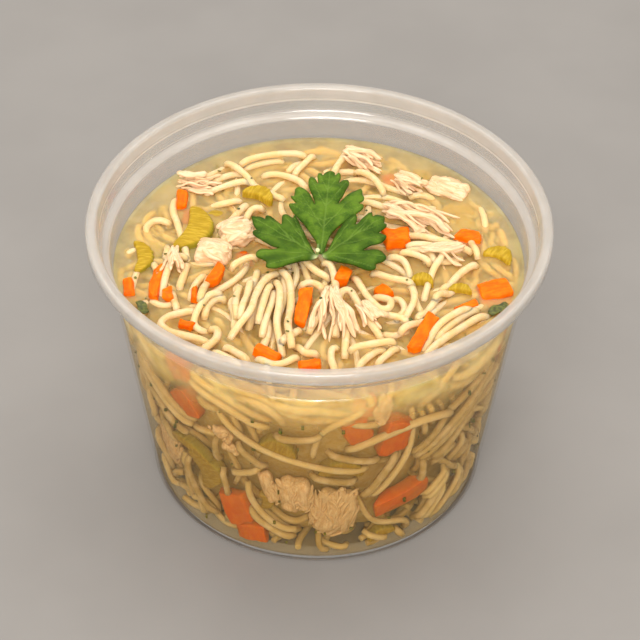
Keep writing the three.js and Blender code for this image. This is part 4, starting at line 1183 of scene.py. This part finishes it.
def pulled_strip(random, size, i):
    spot = random.normal(0, 0.2, 2) * size[:2]
    places, length, out = fibre_path(random, size, spot, (0.3, 0.75), 40, 14, STEP)
    half = random.uniform(0.3, 0.6) * random.choice([1, 1, 2.2])
    line = size[2] / 2 * (0.95 - 0.4 * out) - 0.7 * half - random.uniform(0, 0.12) * size[2]
    return fibre_strip(places, line, half * tapered(len(places), 4, 0.2), 6, 0.55, 0.4,
                       random.uniform(-0.8, 0.8), length, i)


def pulled_part(middle, size, heading, seed):
    """A mass of pulled meat: fine fibres one over the other, mostly along its length."""
    size = np.array(size, float)
    return meat_part(middle, size, heading, seed, [0.8, 0.84, 0.7], 0.7, 16,
                     int(0.5 * size[0] * size[1]), pulled_strip)


# ---------------------------------------------------------------- carrot and celery


def carrot_part(middle, size, heading, seed):
    """A cut piece of carrot: a block with soft edges, no two faces quite square."""
    random = np.random.default_rng(seed)
    points, away, faces = rounded_block(size, 0.5, 12)
    own = points.copy()
    half = np.array(size) / 2
    share = points / half
    taper = 1 - random.uniform(-0.3, 0.3, 3) * np.roll(share, 1, 1)
    taper = taper - random.uniform(0, 0.18, 3) * np.roll(share, 2, 1) ** 2
    points = np.clip(points * taper, -half, half)
    points += away * (0.3 * waves(points, 5.0, seed, 3) - 0.1)[:, None]
    return placed(points, middle, heading), faces, {"own": own + seed * 3.0}


def celery_part(middle, size, heading, seed):
    """A crescent slice of stalk: strings stand out along its outer curve."""
    width, length, height = size
    steps, sides, squareness = 40, 28, 0.45
    t = np.linspace(-1, 1, steps + 1)
    tip = np.sqrt(np.clip(1 - np.abs(t) ** 7, 0, 1))
    strings = 0.12 * np.cos(t * length * 1.9) * (np.abs(t) < 0.9)
    outer = 0.5 * width * (1 - 1.1 * t * t) + strings
    inner = -0.5 * width + 0.26 * width * (1 - t * t)
    mid, half = (outer + inner) / 2, np.maximum((outer - inner) / 2 * tip, 0.12)
    angle = np.arange(sides) * 2 * math.pi / sides
    wide = np.sign(np.cos(angle)) * np.abs(np.cos(angle)) ** squareness
    high = np.sign(np.sin(angle)) * np.abs(np.sin(angle)) ** squareness
    x = mid[:, None] + half[:, None] * wide[None]
    y = np.broadcast_to((t * length / 2)[:, None], x.shape)
    z = (height / 2) * (0.55 + 0.45 * tip)[:, None] * high[None]
    points = np.stack([x, y, z], -1).reshape(-1, 3)
    own = points + seed * 3.0
    points = points + 0.12 * np.stack([waves(points, 5.0, seed + k, 2) for k in range(3)], 1)
    skin = np.clip(np.tile(wide, steps + 1), 0, 1) ** 3
    marks = {"own": own, "skin": skin}
    return placed(points, middle, heading), closed_rings(steps + 1, sides), marks


def sunk_parts(rows, maker, footprints):
    """Pieces wholly under the surface. Their footprints keep the strands off them."""
    parts = []
    for i, (x, y, width, length, thick, heading, depth) in enumerate(rows):
        middle = np.array([x, y, LEVEL - depth - thick / 2])
        parts.append(maker(middle, (width, length, thick), heading, 500 + i))
        footprints.append((middle, (width, length, thick), heading))
    return parts


# ---------------------------------------------------------------- behind the wall

WALL_MEAN = 49.0  # radius at which lengths round the tub are measured
WALL_LOWEST = 2.2  # heights that the middles of strands at the wall keep between
WALL_HIGHEST = LEVEL - 1.9


def arc_length(angle):
    return math.radians(angle) * WALL_MEAN


def behind_wall(u, z, depth):
    """Places for arc length, height and depth behind the wall."""
    angle = u / WALL_MEAN
    radius = wall_inside(np.maximum(z, CORNER + 0.5)) - depth
    return np.stack([radius * np.cos(angle), radius * np.sin(angle), z], -1)


def lay_on_wall(pile, places, random, deepest, sides):
    """The stretches of one strand under the surface, each laid on what is at the wall."""
    keep = (places[:, 1] > WALL_LOWEST) & (places[:, 1] < WALL_HIGHEST)
    parts = []
    for run in runs_of(keep, 6):
        spot = places[run]
        line = bridged(pile.bed(spot, NOODLE), BRIDGING)
        if (line > deepest).mean() > 0.2:
            continue
        line = np.maximum(smoothed(line, 20), NOODLE * 0.9)
        pile.cover(spot, line, NOODLE)
        line = line + 1.6 * np.linspace(-1, 1, len(line)) ** 6
        some = thinned(len(spot), 2)
        middles = behind_wall(spot[some, 0], spot[some, 1], line[some])
        inward = -middles * np.array([1, 1, 0])
        tone = random.random()
        points, faces = tube(middles, inward, NOODLE * (0.76 + 0.22 * random.random()), sides)
        parts.append((points, faces, {"tone": np.full(len(points), tone)}))
    return parts


def wall_part(pile, row, seed, maker):
    """A piece laid flat behind the wall, as deep as what is already there allows."""
    angle, z, width, height, thick, tilt, depth = row
    at = np.array([arc_length(angle), z])
    grid = np.linspace(-0.35, 0.35, 7)
    spread = at + np.stack(np.meshgrid(grid * width, grid * height), -1).reshape(-1, 2)
    depth = max(depth, float(np.percentile(pile.top[pile.cells(spread)], 70)) * 0.9)
    pile.cover(spread, np.full(len(spread), depth + thick - 1.0), 1.0)
    points, *rest = maker(np.zeros(3), (width, height, thick), tilt, seed)
    up = np.clip(points[:, 1] + z, FLOOR + 0.6, LEVEL - 1.0)
    return behind_wall(points[:, 0] + at[0], up, depth + thick / 2 - points[:, 2]), *rest


def random_wall_rows(random, count, size):
    """Rows for the part of the wall that the front rows don't cover."""
    return [(random.uniform(-30, 210), random.uniform(8, 56),
             *random.uniform(0.6, 1.25, 2) * size, random.uniform(3, 4.6),
             random.uniform(-40, 40), random.uniform(0.5, 2.0)) for _ in range(count)]


def stray(random, angles, longest, steep, sway):
    """Points of a strand at the wall between two angles, mostly level, by length and height."""
    start = (arc_length(random.uniform(*angles)), random.uniform(0, 64))
    return path(start, random.normal(0, steep), random.uniform(12, longest),
                random.normal(0, 90), sway, random)


def make_wall_zone(looks, sunk):
    """What shows through the wall, from the front of it inwards, and on the floor."""
    random = np.random.default_rng(SEED["wall"])
    around = 2 * math.pi * WALL_MEAN
    pile = Pile((0, 0), (around, 72), lambda u, v: np.full(u.shape, 0.12), wrap=True)
    strands = []
    for angle, z, heading, length, turn, count, apart in WALL_STRANDS:
        for i in range(count):
            side = math.radians(heading + 90)
            shift = (i - (count - 1) / 2) * apart
            start = (arc_length(angle) + shift * math.cos(side), z + shift * math.sin(side))
            places = path(start, heading, length, turn, 3, random)
            strands += lay_on_wall(pile, places, random, 5.5, 8)
    for _ in range(COUNT["shallow_strands"]):
        strands += lay_on_wall(pile, stray(random, (-25, 205), 40, 40, 28), random, 3.0, 7)
    kinds = (("carrot", WALL_CARROTS, carrot_part), ("celery", WALL_CELERY, celery_part),
             ("chicken", WALL_CHICKEN, pulled_part))
    for kind, rows, maker in kinds:
        rows = rows + random_wall_rows(random, *RANDOM_AT_WALL[kind])
        parts = [wall_part(pile, row, 300 + i, maker) for i, row in enumerate(rows)]
        make_piece(f"{kind}_sunk", parts + sunk.get(kind, []), looks[kind], kind)
    for _ in range(COUNT["deep_strands"]):
        strands += lay_on_wall(pile, stray(random, (0, 360), 36, 50, 34), random, 5.4, 6)
    strands += floor_strands(random)
    make_piece("noodles_sunk", strands, looks["noodle"], "noodle")


def floor_strands(random):
    """Strands that lie on the floor of the tub."""
    pile = Pile((-50, -50), (50, 50), lambda u, v: np.full(u.shape, FLOOR + 0.15))
    parts = []
    for _ in range(COUNT["floor_strands"]):
        places = loose_path(random, 41, 20)
        for run in runs_of(np.hypot(*places.T) < 41.6, 7):
            line = bridged(pile.bed(places[run], NOODLE), 40)
            if line.max() < 8:
                pile.cover(places[run], line, NOODLE)
                parts.append(strand_part(places[run], smoothed(line, 8), random.random(), 6))
    return parts


# ---------------------------------------------------------------- parsley


def smooth_outline(row):
    """A closed curve through a row of x and y, with corners rounded only slightly."""
    per_span, tight = 3, 0.32
    points = np.reshape(row, (-1, 2)).astype(float)
    a, b, c, d = (np.roll(points, shift, 0)[:, None] for shift in (1, 0, -1, -2))
    t = (np.arange(per_span) / per_span)[None, :, None]
    out, into = tight * (c - a), tight * (d - b)
    curve = ((2 * t**3 - 3 * t**2 + 1) * b + (t**3 - 2 * t**2 + t) * out
             + (-2 * t**3 + 3 * t**2) * c + (t**3 - t**2) * into)
    return curve.reshape(-1, 2)


def distance_to(points, start, end):
    """Distance to a straight stretch, and how far along it the nearest point lies."""
    start, way = np.asarray(start, float), np.subtract(end, start)
    t = np.clip(((points - start) @ way) / (way @ way), 0, 1)
    return np.hypot(*(points - start - t[:, None] * way).T), t


def edge_distance(points, edge):
    """Distance to the nearest stretch of a closed outline."""
    return np.min([distance_to(points, a, b)[0] for a, b in zip(edge, np.roll(edge, -1, 0))], 0)


def filled(edge, step):
    """Points and triangles that fill a closed outline evenly."""
    low, high = edge.min(0), edge.max(0)
    ys = np.arange(low[1], high[1], step * 0.866)
    grid = np.array([(x + (step / 2 if k % 2 else 0), y)
                     for k, y in enumerate(ys) for x in np.arange(low[0], high[0], step)])
    grid = grid[edge_distance(grid, edge) > 0.22]
    corners = [Vector(p) for p in np.vstack([edge, grid])]
    vertices, _, faces, *_ = delaunay_2d_cdt(corners, [], [list(range(len(edge)))], 1, 1e-5)
    return np.array([tuple(v) for v in vertices]), np.array(faces)


def facing_up(flat, faces):
    """The same triangles, each turned to face up."""
    a, b, c = (flat[faces[:, k]] for k in range(3))
    turn = (b[:, 0] - a[:, 0]) * (c[:, 1] - a[:, 1]) - (b[:, 1] - a[:, 1]) * (c[:, 0] - a[:, 0])
    return np.where((turn > 0)[:, None], faces, faces[:, ::-1])


def leaf_places(flat):
    """Real places and heights of leaf points that are given as the camera sees them."""
    places = flat
    for _ in range(5):
        height = leaf_height(*leaf_polar(places))
        places = np.array([seen_at(p, h)[:2] for p, h in zip(flat, height)])
    return places, height


def leaflet_part(outline, veins, dark, seed):
    """One leaflet: its outline filled with a fine mesh, puffed between sunken veins."""
    edge = smooth_outline(outline)
    flat, faces = filled(edge, 0.42)
    faces = facing_up(flat, faces)
    places, height = leaf_places(flat)
    vein = np.zeros(len(flat))
    for k, (*start, end_x, end_y) in enumerate(veins):
        away, t = distance_to(flat, start, (end_x, end_y))
        width = (0.36 if k == 0 else 0.24) * (1.05 - 0.4 * t)
        vein = np.maximum(vein, np.exp(-((away / width) ** 2)))
    rim = edge_distance(flat, edge)
    puff = 0.26 * (1 - vein) * np.clip(rim / 1.6, 0, 1) - 0.35 * np.exp(-rim / 0.9)
    puff += 0.22 * waves(flat, 7.0, seed, 2)
    cloudy = 0.5 + 0.5 * waves(flat, 6.0, seed, 1)
    # Painted shade: darker along each leaflet's edge, and over the side leaflets by their share.
    shade = np.clip(0.55 * np.exp(-rim / 0.5) + dark * cloudy, 0, 1)
    upper = np.column_stack([places, height + LEAF["thick"] + puff])
    lower = upper - (0, 0, LEAF["thick"])
    count = len(upper)
    sides = np.concatenate([faces[:, [0, 1]], faces[:, [1, 2]], faces[:, [2, 0]]])
    known = {tuple(side) for side in sides}
    border = np.array([side for side in sides if (side[1], side[0]) not in known])
    skirt = np.stack([border[:, 1], border[:, 0], border[:, 0] + count, border[:, 1] + count], 1)
    stem = np.exp(-((np.hypot(*flat.T) / 1.5) ** 2))
    marks = {"vein": np.tile(vein, 2), "stem": np.tile(stem, 2), "shade": np.tile(shade, 2)}
    return np.vstack([upper, lower]), [faces, faces[:, ::-1] + count, skirt], marks


def make_parsley(material):
    """The three leaflets, with the end of their stem and a pale rib into the middle one."""
    # The middle leaflet gets no painted shade, the side ones a share of it.
    parts = [leaflet_part(*leaflet, 70 + k)
             for k, leaflet in enumerate(zip(LEAFLETS, VEINS, (0.0, 0.75, 0.65)))]
    t = np.linspace(0, 1, 9)
    foot = np.array(LEAF["stem"])
    for reach, rise, radius, pale in ((2.6, 1.5, 0.55, 1.0), (8.5, 0.2, 0.42, 0.25)):
        line = np.stack([foot[0] + 0.35 * t, foot[1] - 0.6 + reach * t,
                         LEVEL + LEAF["lift"] + 0.45 + rise * (1 - t) ** 2 - 0.5 * t], 1)
        points, faces = tube(line, [1, 0, 0], radius * (1 - 0.3 * t), 10)
        marks = {"vein": 0.6, "stem": pale, "shade": 0.0}
        parts.append((points, faces, {k: np.full(len(points), v) for k, v in marks.items()}))
    make_piece("parsley_leaf", parts, material, "leaf", "parsley")


# ---------------------------------------------------------------- scraps and flecks


def scrap_part(middle, size, heading, seed):
    """A dark bit of leaf, thin and wavy."""
    points, _, faces = rounded_block((size[0], size[1], max(0.35, size[2] * 0.5)), 0.16, 12)
    points[:, 0] *= 1 - 0.5 * np.abs(points[:, 1] / size[1] * 2) ** 2
    points[:, 0] += 0.3 * np.sin(points[:, 1] * 1.7)
    points[:, 2] += 0.22 * waves(points[:, :2], 4.0, seed, 2)
    return placed(points, middle, heading), faces


def make_flecks(material, pile):
    """Pepper and dried herb: small flakes strewn over the surface and through the broth."""
    random = np.random.default_rng(SEED["flecks"])
    parts = []
    spots = [in_disc(random, KEEP_IN - 1) for _ in range(COUNT["top_flecks"])]
    for x, y in (*FLECKS, *spots):
        top = float(pile.top[pile.cells(np.array([x, y]))])
        points, _, faces = rounded_block((*random.uniform(0.35, 1.0, 2), 0.22), 0.1, 3)
        points = turned_by(points, random.uniform(0, 180))
        parts.append((points + (x, y, max(top, LEVEL - 0.66) + 0.05), faces))
    for _ in range(COUNT["sunk_flecks"]):
        u, z = arc_length(random.uniform(0, 360)), random.uniform(4, 62)
        place = behind_wall(np.array([u]), np.array([z]), random.uniform(0.3, 0.8))
        points, _, faces = rounded_block(random.uniform(0.3, 1.1, 3), 0.12, 3)
        parts.append((points + place[0], faces))
    make_piece("herb_flecks", parts, material, "leaf")


# ---------------------------------------------------------------- stage


def make_stage():
    size = 3.0
    mesh = bpy.data.meshes.new("floor")
    mesh.from_pydata([(-size, -size, 0), (size, -size, 0), (size, size, 0), (-size, size, 0)],
                     [], [(0, 1, 2, 3)])
    mesh.materials.append(floor_look())
    floor = bpy.data.objects.new("floor", mesh)
    bpy.context.scene.collection.objects.link(floor)


def make_lights():
    for name, (place, size, watts, colour) in LIGHTS.items():
        data = bpy.data.lights.new(name, "AREA")
        data.shape = "RECTANGLE"
        data.size, data.size_y = (side * MM for side in size)
        data.energy = watts
        data.color = colour
        light = bpy.data.objects.new(name, data)
        light.location = Vector(place) * MM
        aim = Vector(LIT_AT) - Vector(place)
        light.rotation_euler = aim.to_track_quat("-Z", "Y").to_euler()
        bpy.context.scene.collection.objects.link(light)
    world = bpy.data.worlds.new("studio")
    world.use_nodes = True
    sky = world.node_tree.nodes["Background"].inputs
    sky["Color"].default_value, sky["Strength"].default_value = SKY
    bpy.context.scene.world = world
    bpy.context.scene.view_settings.view_transform = "Standard"


# ---------------------------------------------------------------- everything together


def named(prefix):
    return sorted(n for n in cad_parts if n.startswith(prefix))


def framed(prefix, footprints):
    """Each CAD node of that name with its place, which is added to the footprints."""
    for i, node in enumerate(named(prefix)):
        footprints.append(own_frame(node))
        yield i, node, *footprints[-1]


# How much wider and longer than its solid a piece is, where it reaches under the surface.
WIDER = {"carrot": (1, 1, 1), "celery": (1.3, 1.04, 1), "chicken": (1.2, 1.22, 1)}


def make_cooked_pieces(looks, footprints):
    """Each carrot, celery and chunk of chicken that stands out of the broth."""
    makers = (("carrot", "carrot_", carrot_part), ("celery", "celery_", celery_part),
              ("chicken", "chicken_chunk_", chunk_part))
    for kind, prefix, maker in makers:
        for i, node, middle, size, heading in framed(prefix, footprints):
            part = maker(middle, size * WIDER[kind], heading, 20 * len(prefix) + i)
            make_piece(f"{node}_cooked", [part], looks[kind], kind, node)


def make_scraps(herb, footprints):
    for i, node, *place in framed("herb_leaf_", footprints):
        make_piece(f"{node}_limp", [scrap_part(*place, 90 + i)], herb, "leaf", node)


def make_soup():
    looks = {"noodle": noodle_look("noodle", 0.35), "carrot": carrot_look("carrot", 0.12),
             "celery": celery_look("celery", 0.12), "chicken": chicken_look("chicken", 0.3)}
    # Copies of the looks for what lies in the broth behind the wall, darker by painted shade, as
    # less light reaches in there.
    shaded_sunk_looks = {
        "noodle": noodle_look("noodle_in_broth", 0.08, (0.74, 0.545, 0.27), (0.42, 0.30, 0.13)),
        "carrot": carrot_look("carrot_in_broth", 0.08, 0.74, 9.0),
        "celery": celery_look("celery_in_broth", 0.08, 0.8),
        "chicken": chicken_look("chicken_in_broth", 0.08, 0.95, 6.5),
    }
    herb = herb_look()
    footprints = []
    make_cooked_pieces(looks, footprints)
    sunk = {"carrot": sunk_parts(SUNK_CARROTS, carrot_part, footprints),
            "celery": sunk_parts(SUNK_CELERY, celery_part, footprints)}
    make_scraps(herb, footprints)
    make_core(deep_look())
    pile = Pile((-52, -52), (52, 52), core_top)
    make_heap(looks["noodle"], pile, footprints)
    random = np.random.default_rng(SEED["shreds"])
    for node, row in zip(named("chicken_shreds_"), SHREDS):
        parts = shreds_part(row, pile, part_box(node)[1].z / MM, random)
        make_piece(f"{node}_torn", parts, looks["chicken"], "chicken", node)
    make_flecks(herb, pile)
    make_wall_zone(shaded_sunk_looks, sunk)


make_camera()
make_stage()
make_lights()
make_tub(plastic_look())
make_broth(broth_look())
make_soup()
make_parsley(leaf_look())
